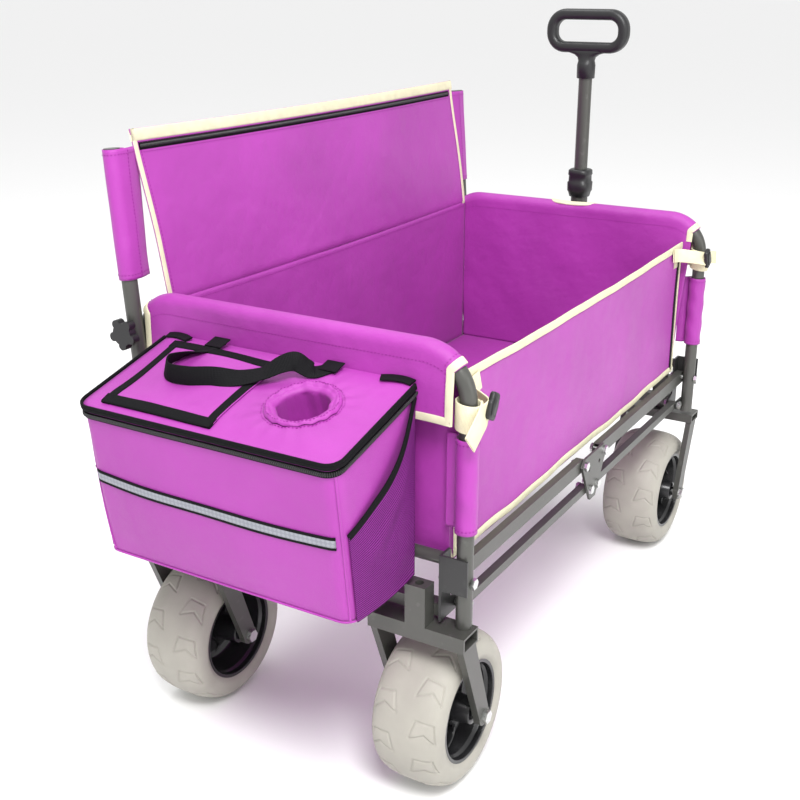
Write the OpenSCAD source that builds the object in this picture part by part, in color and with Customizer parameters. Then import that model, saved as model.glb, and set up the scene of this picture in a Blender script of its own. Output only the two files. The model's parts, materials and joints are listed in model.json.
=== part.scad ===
// Folding beach cart with a fabric basket, a drop-down side, a tilting backrest,
// a cooler bag on the rear end and a telescopic pull handle on the front end.
// Millimetres. +X is the pull-handle end, +Y the backrest side, +Z up, ground at z = 0.

/* [End frames] */
// Distance between the uprights' axes of the rear and the front end frame
frame_l = 920; // [760:5:1120]
// Distance between the two uprights' axes of one end frame
frame_w = 512; // [425:1:620]
// Height of the top rail's axis above the uprights' lower ends
frame_h = 367; // [300:1:445]
// Outer diameter of the end frames' tube
tube_d = 22; // [18:0.5:27]
// Wall thickness of the tubes
tube_wall = 1.5; // [1:0.1:2]
// Bend radius of the end frames' top corners, at the tube's axis
bend_r = 60; // [48:1:75]
// Diameter of the round upper cross tube
cross_d = 17; // [14:0.5:20]
// Height of the upper cross tube's axis above the upper pivots
cross_rise = 25; // [22:1:32]
// Side of the square lower cross tube
sill_w = 18; // [15:0.5:20]

/* [Wheels and forks] */
// Diameter of the tyres
wheel_d = 224; // [180:1:270]
// Width of the tyres
tyre_w = 106; // [86:1:128]
// Radius of the rims
rim_r = 76; // [62:1:84]
// Distance of the axles inboard of the uprights, along the cart
axle_inset = 40; // [30:1:50]
// Distance of the wheels' mid planes inboard of the uprights, across the cart
wheel_inset = 56; // [54:1:64]
// Diameter of the axle bolts
axle_d = 10; // [8:0.5:12]
// Gap between the tyre and the fork beam above it
tyre_gap = 22; // [12:1:30]
// Gap between the tyre and a fork leg
leg_gap = 7; // [5:0.5:12]
// Thickness of a fork leg
leg_t = 10; // [6:0.5:12]
// Width of a fork leg
leg_w = 28; // [22:1:34]
// Width of the fork beam along the cart
beam_w = 40; // [34:1:46]
// Height of the fork beam
beam_h = 22; // [16:1:26]
// Room between a swivelling fork beam and the upright above it
swivel_gap = 6; // [3:0.5:8]
// Diameter of the king pins
king_d = 12; // [10:0.5:14]

/* [Folding rails] */
// Height of an upper rail
rail_h = 22; // [18:0.5:25]
// Height of a lower rail
low_rail_h = 13; // [12:0.5:16]
// Thickness of the rails across the cart
rail_t = 12; // [9:0.5:14]
// Height of the upper pivots above the uprights' lower ends
pin_rise = 66; // [60:1:80]
// Distance of the lower pivots below the upper ones
pin_drop = 49; // [40:1:52]
// Distance of the lower pivots inboard of the upper ones
pin_step = 26; // [24:1:30]
// Distance between the two upper pivots of a centre plate
plate_pins = 80; // [70:1:96]
// Thickness of the centre plates
plate_t = 4; // [3:0.5:6]
// Diameter of the pivot bolts
bolt_d = 8; // [6:0.5:9]

/* [Basket] */
// Thickness of the fabric walls
cloth_t = 2.5; // [1.5:0.1:3]
// Distance of the drop side's top edge below the top rail's axis
side_drop = 37; // [20:1:60]
// Height of the backrest panel above the top rail's axis
back_h = 232; // [180:1:280]
// Outward lean of the backrest panel in degrees
back_lean = 9.7; // [6:0.1:12]
// Outward lean of the backrest poles in degrees
pole_lean = 4; // [2:0.5:6]
// Length of a pole above its pivot
pole_l = 248; // [200:1:300]

/* [Cooler bag] */
// Distance of the bag's sides inboard of the uprights' axes, across the cart
bag_inset = 63; // [52:1:76]
// Depth of the bag at its lid
bag_d = 180; // [150:1:216]
// Depth of the bag at its bottom
bag_foot_d = 152; // [126:1:183]
// Height of the bag at its back
bag_h = 255; // [212:1:306]
// Drop of the lid from back to front
lid_drop = 46; // [30:1:60]
// Wall thickness of the insulated bag
bag_t = 5; // [3:0.5:8]
// Radius of the cup opening
cup_r = 38; // [32:1:42]

/* [Pull handle] */
// Outer diameter of the outer tube
handle_d = 32; // [28:0.5:36]
// Diameter of the inner tube
inner_d = 25; // [21:0.5:26]
// Height of the collar's top above the top rail's axis
collar_rise = 72; // [60:1:90]
// Height of the grip's top above the collar's top, as drawn
grip_rise = 293; // [260:1:330]
// Width of the D grip
grip_w = 160; // [134:1:192]

/* [Fits] */
// Radial clearance of a pin that turns in its bore
run_fit = 0.05; // [0.02:0.01:0.1]
// Radial clearance of fabric sleeves on their tubes
sleeve_fit = 0.3; // [0.2:0.1:1]
// Gap between neighbouring pieces that move past each other
side_gap = 1.5; // [1:0.1:2]
// Radial clearance of the open pivots that close each side's linkage
open_fit = 0.8; // [0.5:0.1:1.2]

/* [Hidden] */
$fn = 48;

frame_grey = [0.37, 0.37, 0.35];
purple = [0.72, 0.24, 0.72];
cream = [0.93, 0.91, 0.8];
black = [0.07, 0.07, 0.07];
tyre_grey = [0.68, 0.66, 0.62];
zinc = [0.75, 0.75, 0.74];

// Heights that everything else hangs from
foot_z = wheel_d + tyre_gap + beam_h;
rail_z = foot_z + frame_h;
pin_z = foot_z + pin_rise;
low_pin_z = pin_z - pin_drop;
cross_z = pin_z + cross_rise;
deck_z = pin_z + rail_h / 2 + 1;

// Half widths and places across the cart
half_w = frame_w / 2;
tube_r = tube_d / 2;
rail_y = half_w - tube_r - side_gap - rail_t / 2;
cheek_t = 3.5;
cheek_y = rail_y - rail_t / 2 - side_gap - cheek_t;
wall_y = cheek_y - 0.5;
wheel_y = half_w - wheel_inset;

// Places along the cart: u is measured inboard from the uprights' axes
wall_u = tube_r + sleeve_fit;
sill_u = 3;
king_u = -(sill_w / 2 - sill_u) - 12;
box_w = 24;
box_d = 30;
box_h = 57;
bag_u = -tube_r - 4;
bag_w = frame_w - 2 * bag_inset;
bag_reach = -bag_u + bag_d + 5;
tyre_reach = wheel_d / 2 - axle_inset;
rear_x = (bag_reach - tyre_reach - frame_l) / 2;
front_x = rear_x + frame_l;
mid_x = (rear_x + front_x) / 2;
link_l = (frame_l - plate_pins) / 2;

// Backrest pivot, on the bend of the end tube
pivot_lift = 20;
pivot_z = rail_z - bend_r + pivot_lift;
pivot_y = half_w - bend_r + sqrt(bend_r * bend_r - pivot_lift * pivot_lift);
pole_u = -tube_d - 1;

// Pull handle
handle_u = -tube_r - cloth_t - sleeve_fit - handle_d / 2 - 1.4;
handle_pin_d = 10;
handle_pin_z = low_pin_z + 27;
collar_h = 53;
collar_z = rail_z + collar_rise;
grip_h = 96;
grip_z = collar_z + grip_rise - grip_h;

// Puts its children, drawn with +X inboard from the uprights, at the rear or the front end
module at_end(front) {
    if (front) translate([front_x, 0, 0]) mirror([1, 0, 0]) children();
    else translate([rear_x, 0, 0]) children();
}

module both_sides() {
    children();
    mirror([0, 1, 0]) children();
}

// A cylinder along Y from y1 to y2
module rod_y(r, y1, y2) {
    translate([0, y1, 0]) rotate([-90, 0, 0]) cylinder(r = r, h = y2 - y1);
}

// A cylinder along X from x1 to x2
module rod_x(r, x1, x2) {
    translate([x1, 0, 0]) rotate([0, 90, 0]) cylinder(r = r, h = x2 - x1);
}

// A plate drawn in the XZ plane, from y1 to y2
module plate_y(y1, y2) {
    translate([0, y2, 0]) rotate([90, 0, 0]) linear_extrude(y2 - y1) children();
}

// A hexagon head or nut on the Y axis
module hex_y(across, y1, y2) {
    translate([0, y2, 0]) rotate([90, 0, 0]) cylinder(d = across / cos(30), h = y2 - y1, $fn = 6);
}

// ---- End frames ----

module end_path(r, overrun) {
    both_sides() {
        translate([0, half_w, foot_z - overrun]) cylinder(r = r, h = frame_h - bend_r + overrun);
        translate([0, half_w - bend_r, rail_z - bend_r]) rotate([90, 0, 90])
            rotate_extrude(angle = 90) translate([bend_r, 0]) circle(r);
    }
    translate([0, 0, rail_z]) rod_y(r, bend_r - half_w, half_w - bend_r);
}

module end_tube(front) {
    color(frame_grey) at_end(front) difference() {
        end_path(tube_r, 0);
        end_path(tube_r - tube_wall, 1);
        both_sides() translate([0, 0, pin_z]) rod_y(bolt_d / 2 + 0.2, half_w - tube_d, half_w + tube_d);
        translate([0, pivot_y, pivot_z]) rod_x(bolt_d / 2 + run_fit, -tube_d, tube_d);
    }
}

module cross_tubes(front) {
    color(frame_grey) at_end(front) {
        translate([0, 0, cross_z]) difference() {
            rod_y(cross_d / 2, -cheek_y, cheek_y);
            rod_y(cross_d / 2 - tube_wall, -cheek_y - 1, cheek_y + 1);
        }
        translate([sill_u, 0, low_pin_z]) difference() {
            cube([sill_w, 2 * cheek_y, sill_w], center = true);
            cube([sill_w - 2 * tube_wall, 2 * cheek_y + 2, sill_w - 2 * tube_wall], center = true);
        }
        both_sides() translate([king_u, wheel_y, foot_z]) difference() {
            translate([-box_w / 2, -box_d / 2, 0]) cube([box_w, box_d, box_h]);
            translate([0, 0, -1]) cylinder(d = king_d + 2 * run_fit, h = box_h + 2);
        }
    }
}

module hinge_bracket() {
    web_u = -tube_r - 4;
    difference() {
        union() {
            plate_y(cheek_y, cheek_y + cheek_t) {
                polygon([[web_u, low_pin_z - 10], [pin_step, low_pin_z - 10], [pin_step, low_pin_z + 10],
                    [wall_u - 1, low_pin_z + 16], [wall_u - 1, cross_z + 11], [web_u, cross_z + 11]]);
                translate([pin_step, low_pin_z]) circle(10);
            }
            translate([web_u, cheek_y, pin_z - 14])
                cube([3, half_w + tube_r - cheek_y, cross_z + 11 - pin_z + 14]);
        }
        translate([0, 0, pin_z]) rod_y(bolt_d / 2 + 0.2, cheek_y - 1, cheek_y + cheek_t + 1);
        translate([pin_step, 0, low_pin_z]) rod_y(bolt_d / 2 + 0.2, cheek_y - 1, cheek_y + cheek_t + 1);
    }
    difference() {
        plate_y(half_w - tube_r - 1, half_w - tube_r + 2.5) {
            translate([4, low_pin_z - 9]) square([pin_step - 4, 18]);
            translate([pin_step, low_pin_z]) circle(9);
        }
        translate([0, half_w, foot_z]) cylinder(r = tube_r + 0.1, h = frame_h / 2);
        translate([pin_step, 0, low_pin_z]) rod_y(bolt_d / 2 + 0.2, cheek_y, half_w + tube_r);
    }
}

module hinge_brackets(front) {
    color(black) at_end(front) both_sides() hinge_bracket();
}

module bolt_y(y_in, y_out) {
    rod_y(bolt_d / 2, y_in - 5, y_out + 5);
    hex_y(13, y_in - 5, y_in - 0.1);
    hex_y(13, y_out + 0.1, y_out + 5);
}

module pivot_bolts(front) {
    color(zinc) at_end(front) both_sides() {
        translate([0, 0, pin_z]) bolt_y(cheek_y, half_w + tube_r);
        translate([pin_step, 0, low_pin_z]) bolt_y(cheek_y, half_w - tube_r + 2.5);
    }
}

// ---- Folding rails ----

// A hollow bar between two pins on its axis, from the origin towards +X
module rail(len, h, far_bore) {
    difference() {
        plate_y(rail_y - rail_t / 2, rail_y + rail_t / 2) {
            translate([0, -h / 2]) square([len, h]);
            circle(h / 2);
            translate([len, 0]) circle(h / 2);
        }
        translate([-h, rail_y - rail_t / 2 + tube_wall, -h / 2 + tube_wall])
            cube([len + 2 * h, rail_t - 2 * tube_wall, h - 2 * tube_wall]);
        rod_y(bolt_d / 2 + run_fit, rail_y - rail_t, rail_y + rail_t);
        translate([len, 0, 0]) rod_y(far_bore, rail_y - rail_t, rail_y + rail_t);
    }
}

module upper_rails(front) {
    color(frame_grey) at_end(front) both_sides() translate([0, 0, pin_z])
        rail(link_l, rail_h, bolt_d / 2 + run_fit);
}

// The rear pair is open at the centre plate, and the front pair at its bracket
module lower_rails(front) {
    color(frame_grey) at_end(front) both_sides() translate([pin_step, 0, low_pin_z]) {
        if (front) translate([link_l, 0, 0]) mirror([1, 0, 0]) rail(link_l, low_rail_h, bolt_d / 2 + open_fit);
        else rail(link_l, low_rail_h, bolt_d / 2 + open_fit);
    }
}

plate_y0 = rail_y + rail_t / 2 + 1;
plate_half = plate_pins / 2;
low_half = plate_half - pin_step;

module centre_plate() {
    difference() {
        plate_y(plate_y0, plate_y0 + plate_t) {
            polygon([[-plate_half - 11, 0], [-low_half - 9, -pin_drop], [-low_half + 3, -pin_drop - 20],
                [low_half - 3, -pin_drop - 20], [low_half + 9, -pin_drop], [plate_half + 11, 0],
                [plate_half, rail_h / 2 + 1], [-plate_half, rail_h / 2 + 1]]);
        }
        for (s = [-1, 1]) {
            translate([s * plate_half, 0, 0]) rod_y(bolt_d / 2 + 0.2, plate_y0 - 1, plate_y0 + plate_t + 1);
            translate([s * low_half, 0, -pin_drop]) rod_y(bolt_d / 2 + 0.2, plate_y0 - 1, plate_y0 + plate_t + 1);
            translate([s * 21, 0, -12]) rod_y(3.5, plate_y0 - 1, plate_y0 + plate_t + 1);
        }
    }
}

module centre_plates() {
    color(frame_grey) translate([mid_x, 0, pin_z]) both_sides() centre_plate();
}

module plate_bolts() {
    color(zinc) translate([mid_x, 0, pin_z]) both_sides() for (s = [-1, 1]) {
        translate([s * plate_half, 0, 0]) bolt_y(rail_y - rail_t / 2 - 0.4, plate_y0 + plate_t);
        translate([s * low_half, 0, -pin_drop]) bolt_y(rail_y - rail_t / 2 - 0.4, plate_y0 + plate_t);
    }
}

// ---- Forks, axles and wheels ----

fork_half = tyre_w / 2 + leg_gap + leg_t;
axle_z = wheel_d / 2;
beam_u = king_u + 8;

// A fork seen along Y: a slanting leg on each side of the wheel, under a beam
module fork(top_z) {
    beam_z = foot_z - beam_h;
    difference() {
        union() {
            translate([beam_u - beam_w / 2, -fork_half - 2, beam_z])
                cube([beam_w, 2 * fork_half + 4, top_z - beam_z]);
            for (y0 = [-fork_half, fork_half - leg_t]) plate_y(y0, y0 + leg_t) {
                polygon([[axle_inset - leg_w / 2, axle_z], [beam_u - beam_w / 2 + 3, beam_z],
                    [beam_u + beam_w / 2 - 3, beam_z], [axle_inset + leg_w / 2, axle_z]]);
                translate([axle_inset, axle_z]) circle(leg_w / 2);
            }
        }
        translate([beam_u - beam_w / 2 + 3, -fork_half - 3, beam_z + 3])
            cube([beam_w - 6, 2 * fork_half + 6, top_z - beam_z - 6]);
        translate([axle_inset, 0, axle_z]) rod_y(axle_d / 2 + 0.2, -fork_half - 1, fork_half + 1);
    }
}

module rear_fork(side) {
    color(frame_grey) at_end(false) translate([0, side * wheel_y, 0]) fork(foot_z);
}

// King pin with its thrust collar below the box and its cap above it
module king_pin() {
    pin_r = king_d / 2;
    cap_z = swivel_gap + box_h + 0.5;
    rotate_extrude() polygon([[0, -1], [pin_r + 6, -1], [pin_r + 6, swivel_gap - 0.5], [pin_r, swivel_gap - 0.5],
        [pin_r, cap_z], [pin_r + 4.5, cap_z], [pin_r + 4.5, cap_z + 7], [0, cap_z + 7]]);
}

// The king pin stands on the beam and turns in the box above it
module front_fork(side) {
    top_z = foot_z - swivel_gap;
    color(frame_grey) at_end(true) translate([0, side * wheel_y, 0]) {
        fork(top_z);
        translate([king_u, 0, top_z]) king_pin();
    }
}

module axle(front, side) {
    at_end(front) translate([axle_inset, side * wheel_y, axle_z]) {
        rod_y(axle_d / 2, -fork_half - 7, fork_half + 7);
        hex_y(17, -fork_half - 7, -fork_half);
        hex_y(17, fork_half, fork_half + 7);
    }
}

module rear_axles() {
    color(zinc) for (side = [-1, 1]) axle(false, side);
}

module front_axle(side) {
    color(zinc) axle(true, side);
}

module at_wheel(front, side) {
    at_end(front) translate([axle_inset, side * wheel_y, axle_z]) rotate([-90 * side, 0, 0]) children();
}

// Balloon section with round shoulders
module tyre(front, side) {
    shoulder = 38;
    color(tyre_grey) at_wheel(front, side) rotate_extrude($fn = 96) intersection() {
        union() {
            translate([rim_r, shoulder - tyre_w / 2]) square([wheel_d / 2 - rim_r, tyre_w - 2 * shoulder]);
            for (s = [-1, 1]) translate([wheel_d / 2 - shoulder, s * (tyre_w / 2 - shoulder)]) circle(shoulder);
        }
        translate([rim_r, -tyre_w / 2]) square([wheel_d / 2, tyre_w]);
    }
}

// Barrel with a dished, pierced disc and a hub that runs on the axle
module rim(front, side) {
    hub_r = 17;
    color(black) at_wheel(front, side) difference() {
        rotate_extrude($fn = 96) {
            translate([rim_r - 7, 7 - tyre_w / 2]) square([7, tyre_w - 14]);
            translate([hub_r - 6, 10]) square([rim_r - hub_r, 6]);
            translate([axle_d / 2 + run_fit, 2 - tyre_w / 2 - leg_gap]) square([hub_r - axle_d / 2, tyre_w + 2 * leg_gap - 4]);
        }
        for (a = [0 : 60 : 359]) rotate(a) translate([(rim_r + hub_r) / 2 - 2, 0, 8]) cylinder(r = 9, h = 10);
    }
}

// ---- Fabric basket ----

// End wall that turns over the top rail as a sleeve
module end_panel(front) {
    ring_y = half_w - bend_r - 6;
    out_r = tube_r + sleeve_fit + cloth_t;
    color(purple) at_end(front) {
        difference() {
            union() {
                translate([0, 0, rail_z]) rod_y(out_r, -ring_y, ring_y);
                translate([wall_u, -ring_y, rail_z - 50]) cube([cloth_t, 2 * ring_y, 50]);
                translate([wall_u, -wall_y, deck_z]) cube([cloth_t, 2 * wall_y, rail_z - 50 - deck_z]);
                if (!front) translate([-out_r, -ring_y, rail_z - 210]) cube([cloth_t, 2 * ring_y, 210]);
            }
            translate([0, 0, rail_z]) rod_y(tube_r + sleeve_fit, -half_w, half_w);
            if (front) translate([-2 * out_r, -30, rail_z - out_r]) cube([2 * out_r, 60, 2 * out_r]);
        }
    }
}

// Fabric sleeve round an upright with a flap to the basket corner
module post_sleeve(z1, z2) {
    translate([0, 0, z1]) linear_extrude(z2 - z1) difference() {
        union() {
            translate([0, half_w]) circle(tube_r + sleeve_fit + 2);
            translate([2, wall_y + 0.5]) square([3, half_w - wall_y - tube_r + 2]);
            translate([2, wall_y - 2]) square([wall_u + cloth_t - 2, 2.5]);
        }
        translate([0, half_w]) circle(tube_r + sleeve_fit);
        translate([wall_u - 0.1, 0]) square([cloth_t + 1, wall_y + 0.05]);
    }
}

module post_sleeves(front) {
    color(purple) at_end(front) both_sides() post_sleeve(rail_z - 231, rail_z - 104);
}

strap_z = rail_z - bend_r - 26;

module corner_strap(front) {
    color(cream) at_end(front) mirror([0, 1, 0]) post_sleeve(strap_z, strap_z + 25);
}

module corner_buckle(front) {
    color(black) at_end(front) translate([-13, -half_w - tube_r - sleeve_fit - 9, strap_z - 3]) difference() {
        cube([26, 6.5, 31]);
        translate([4, -1, 5]) cube([18, 9, 7]);
        translate([4, -1, 19]) cube([18, 9, 7]);
    }
}

module basket_floor() {
    u = wall_u + cloth_t + 0.5;
    color(purple) translate([rear_x + u, -wall_y + 0.5, deck_z]) cube([frame_l - 2 * u, 2 * wall_y - 1, 4]);
}

module far_side_panel() {
    u = wall_u + cloth_t + 0.5;
    color(purple) translate([rear_x + u, wall_y, deck_z]) cube([frame_l - 2 * u, cloth_t, rail_z - 5 - deck_z]);
}

module drop_side_panel() {
    u = wall_u + cloth_t + 6;
    color(purple) translate([rear_x + u, -wall_y - cloth_t, deck_z + 3])
        cube([frame_l - 2 * u, cloth_t, rail_z - side_drop - deck_z - 3]);
}

// ---- Backrest ----

module backrest_panel() {
    low_half_l = frame_l / 2 - 28;
    top_half_l = frame_l / 2 - 10;
    color(purple) translate([mid_x, wall_y, rail_z - 3]) rotate([-back_lean, 0, 0]) plate_y(0, 4)
        polygon([[-low_half_l, 0], [low_half_l, 0], [top_half_l, back_h / cos(back_lean)],
            [-top_half_l, back_h / cos(back_lean)]]);
}

module at_pivot(front) {
    at_end(front) translate([0, pivot_y, pivot_z]) children();
}

module pole(front) {
    stub = 55;
    color(frame_grey) at_pivot(front) difference() {
        rotate([-pole_lean, 0, 0]) translate([pole_u, 0, -stub]) difference() {
            cylinder(r = tube_r, h = stub + pole_l);
            translate([0, 0, -1]) cylinder(r = tube_r - tube_wall, h = stub + pole_l - 2);
        }
        rod_x(bolt_d / 2 + run_fit, -2 * tube_d, 0);
    }
}

module pole_lug(front) {
    lug_z = 73;
    color(purple) at_pivot(front) rotate([-pole_lean, 0, 0]) translate([pole_u, 0, lug_z])
        linear_extrude(pole_l - lug_z - 2) difference() {
            union() {
                circle(tube_r + sleeve_fit + 2);
                translate([0, -2.5]) square([-pole_u + 8, 3]);
            }
            circle(tube_r + sleeve_fit);
        }
}

// Star knob with the stud that clamps the pole to the upright
module knob(front) {
    color(black) at_pivot(front) {
        rod_x(bolt_d / 2, pole_u - tube_r - 8, tube_r + 4);
        rod_x(7, tube_r + 0.5, tube_r + 4);
        rod_x(10, pole_u - tube_r - 6, pole_u - tube_r - 0.8);
        translate([pole_u - tube_r - 18, 0, 0]) rotate([0, 90, 0]) linear_extrude(12) {
            circle(16);
            for (a = [0 : 72 : 359]) rotate(a) translate([16, 0]) circle(6.5);
        }
    }
}

// ---- Cooler bag ----

bag_z = rail_z - 45 - bag_h;
lid_gap = 0.5;
lid_t = 7;
lid_slope = atan(lid_drop / bag_d);
// The lid's hinge line, just clear of the flap behind the lid's lower back edge
lid_u = -tube_r - sleeve_fit - cloth_t - 0.4 - lid_t * sin(lid_slope);

// Side outline of the bag, grown inwards by t on the back, bottom and front
module bag_side(t) {
    polygon([[bag_u - t, bag_z + t], [bag_u - t, bag_z + bag_h + (t > 0 ? 1 : 0)],
        [bag_u - bag_d + t, bag_z + bag_h - lid_drop + (t > 0 ? 1 : 0)], [bag_u - bag_foot_d + t, bag_z + t]]);
}

module bag_body() {
    color(purple) at_end(false) difference() {
        plate_y(-bag_w / 2, bag_w / 2) bag_side(0);
        plate_y(-bag_w / 2 + bag_t, bag_w / 2 - bag_t) bag_side(bag_t);
    }
}

module bag_mesh_pockets() {
    color([0.35, 0.12, 0.35]) at_end(false) both_sides() plate_y(bag_w / 2 + 0.1, bag_w / 2 + 6)
        polygon([[bag_u - 12, bag_z + 8], [bag_u - 12, bag_z + bag_h * 0.62],
            [bag_u - bag_d + 24, bag_z + bag_h * 0.52], [bag_u - bag_foot_d + 12, bag_z + 8]]);
}

module bag_reflective_strip() {
    h = bag_h - lid_drop;
    lean = (bag_d - bag_foot_d) / h;
    z1 = 96;
    z2 = 122;
    color([0.8, 0.8, 0.8]) at_end(false) plate_y(-bag_w / 2 + 2, bag_w / 2 - 2)
        polygon([[bag_u - bag_foot_d - z1 * lean, bag_z + z1], [bag_u - bag_foot_d - z2 * lean, bag_z + z2],
            [bag_u - bag_foot_d - z2 * lean - 1.5, bag_z + z2], [bag_u - bag_foot_d - z1 * lean - 1.5, bag_z + z1]]);
}

cup_u = 92;
cup_y = 105 - bag_w / 2;

// Lays its children on the lid's top: x runs from the hinge outwards, z up from the top face
module on_lid() {
    at_end(false) translate([lid_u, 0, bag_z + bag_h + lid_gap + lid_t])
        rotate([0, -lid_slope, 0]) children();
}

module bag_lid() {
    l = bag_d / cos(lid_slope) + 1.5;
    color(purple) on_lid() difference() {
        translate([-l, -bag_w / 2 - 2, -lid_t]) cube([l, bag_w + 4, lid_t]);
        translate([-cup_u, cup_y, -2 * lid_t]) cylinder(r = cup_r, h = 3 * lid_t);
    }
}

module cup_liner() {
    depth = 58;
    color(black) on_lid() translate([-cup_u, cup_y, 0]) difference() {
        union() {
            translate([0, 0, -depth]) cylinder(r = cup_r - 0.2, h = depth);
            cylinder(r = cup_r + 5, h = 2.5);
        }
        translate([0, 0, 2 - depth]) cylinder(r = cup_r - 2, h = depth + 5);
    }
}

module lid_pocket() {
    color(purple) on_lid() translate([-150, 24, 0.1]) cube([128, bag_w / 2 - 43, 5]);
}

// Webbing handle that lies along the lid's back edge, from the pocket to beside the cup
module carry_handle() {
    run = 172;
    webbing_w = 25;
    webbing_t = 3;
    pocket_top = 5.3;
    color(black) on_lid() translate([-45, -72, 0]) {
        translate([0, 0, pocket_top]) cube([webbing_w, run, webbing_t]);
        translate([0, 0, 0.1]) cube([webbing_w, webbing_w, pocket_top]);
    }
}

// ---- Pull handle ----

module handle_bracket() {
    inner = handle_d / 2 + 1;
    color(frame_grey) at_end(true) {
        difference() {
            for (s = [-1, 1]) translate([0, s > 0 ? inner : -inner - 4, 0]) plate_y(0, 4) {
                translate([handle_u, handle_pin_z - 16]) square([-handle_u - (sill_w / 2 - sill_u), 32]);
                translate([handle_u, handle_pin_z]) circle(16);
            }
            translate([handle_u, 0, handle_pin_z]) rod_y(handle_pin_d / 2 + 0.2, -inner - 6, inner + 6);
        }
        translate([handle_u, 0, handle_pin_z]) {
            rod_y(handle_pin_d / 2, -inner - 9, inner + 9);
            hex_y(15, -inner - 9, -inner - 4.1);
            hex_y(15, inner + 4.1, inner + 9);
        }
    }
}

module handle_outer_tube() {
    z1 = handle_pin_z - 12;
    color(frame_grey) at_end(true) translate([handle_u, 0, 0]) difference() {
        translate([0, 0, z1]) cylinder(d = handle_d, h = collar_z - collar_h + 4 - z1);
        translate([0, 0, z1 - 1]) cylinder(d = handle_d - 2 * tube_wall, h = collar_z - z1);
        translate([0, 0, handle_pin_z]) rod_y(handle_pin_d / 2 + run_fit, -handle_d, handle_d);
    }
}

module handle_collar() {
    w = 44;
    color(black) at_end(true) translate([handle_u, 0, collar_z - collar_h]) difference() {
        intersection() {
            translate([-w / 2, -w / 2, 0]) cube([w, w, collar_h]);
            cylinder(r = w * 0.62, h = collar_h);
        }
        translate([0, 0, -1]) cylinder(d = inner_d + 0.8, h = collar_h + 2);
        translate([0, 0, -1]) cylinder(d = handle_d + 0.2, h = 5.1);
    }
}

module handle_inner_tube() {
    z1 = collar_z - collar_h - 150;
    color(frame_grey) at_end(true) translate([handle_u, 0, z1]) difference() {
        cylinder(d = inner_d, h = grip_z - z1);
        translate([0, 0, -1]) cylinder(d = inner_d - 2 * tube_wall, h = grip_z - z1 + 2);
    }
}

// Outline of the loop grip, inset from its edge: a rounded bar form that narrows to its neck
module grip_outline(inset) {
    half = grip_w / 2;
    r = 34;
    z1 = grip_h - 80;
    for (s = [-1, 1]) for (z = [z1 + r + 2, grip_h - r]) translate([s * (half - r), z]) circle(r - inset);
    translate([-half + inset, z1 + r + 2]) square([2 * (half - inset), grip_h - 2 * r - z1 - 2]);
    translate([-half + r, z1 + 2 + inset]) square([2 * (half - r), grip_h - z1 - 2 - 2 * inset]);
    if (inset == 0) polygon([[-half + r, z1 + 2], [-18, 0], [18, 0], [half - r, z1 + 2], [half - r, z1 + r], [r - half, z1 + r]]);
}

module handle_grip() {
    socket = 28;
    t = 25;
    color(black) at_end(true) translate([handle_u, 0, grip_z]) difference() {
        union() {
            translate([0, 0, -socket]) cylinder(d = inner_d + 9, h = socket + 12);
            translate([-t / 2, 0, 0]) rotate([90, 0, 90]) linear_extrude(t) difference() {
                grip_outline(0);
                grip_outline(19);
            }
        }
        translate([0, 0, -socket - 1]) cylinder(d = inner_d + 0.1, h = socket + 1);
        for (z = [-20, -9]) translate([0, 0, z]) rod_x(2.2, 0, inner_d);
    }
}

module grip_screws() {
    color(zinc) at_end(true) translate([handle_u, 0, grip_z]) for (z = [-20, -9])
        translate([0, 0, z]) rod_x(4, -inner_d / 2 - 6.5, -inner_d / 2 - 4.6);
}

end_tube(false);  // rear_end_tube
cross_tubes(false);  // rear_cross_tubes
hinge_brackets(false);  // rear_hinge_brackets
pivot_bolts(false);  // rear_pivot_bolts
rear_fork(1);  // rear_fork_left
rear_fork(-1);  // rear_fork_right
rear_axles();
end_panel(false);  // rear_end_panel
post_sleeves(false);  // rear_post_sleeves
corner_strap(false);  // rear_corner_strap
corner_buckle(false);  // rear_corner_buckle
basket_floor();
far_side_panel();
bag_body();
bag_mesh_pockets();
bag_reflective_strip();
bag_lid();
lid_pocket();
carry_handle();
cup_liner();
upper_rails(false);  // rear_upper_rails
lower_rails(false);  // rear_lower_rails
centre_plates();
plate_bolts();
upper_rails(true);  // front_upper_rails
lower_rails(true);  // front_lower_rails
end_tube(true);  // front_end_tube
cross_tubes(true);  // front_cross_tubes
hinge_brackets(true);  // front_hinge_brackets
pivot_bolts(true);  // front_pivot_bolts
end_panel(true);  // front_end_panel
post_sleeves(true);  // front_post_sleeves
corner_strap(true);  // front_corner_strap
corner_buckle(true);  // front_corner_buckle
handle_bracket();
drop_side_panel();
front_fork(1);  // front_fork_left
front_fork(-1);  // front_fork_right
front_axle(1);  // front_axle_left
front_axle(-1);  // front_axle_right
tyre(false, 1);  // tyre_rear_left
tyre(false, -1);  // tyre_rear_right
tyre(true, 1);  // tyre_front_left
tyre(true, -1);  // tyre_front_right
rim(false, 1);  // rim_rear_left
rim(false, -1);  // rim_rear_right
rim(true, 1);  // rim_front_left
rim(true, -1);  // rim_front_right
pole(false);  // rear_pole
pole_lug(false);  // rear_pole_lug
backrest_panel();
pole(true);  // front_pole
pole_lug(true);  // front_pole_lug
knob(false);  // rear_knob
knob(true);  // front_knob
handle_outer_tube();
handle_collar();
handle_inner_tube();
handle_grip();
grip_screws();
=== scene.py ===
"""Beach cart: fabric, webbing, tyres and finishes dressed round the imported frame."""
import json
import logging
import math
from dataclasses import dataclass
from enum import Enum
from typing import Callable, Sequence

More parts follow.
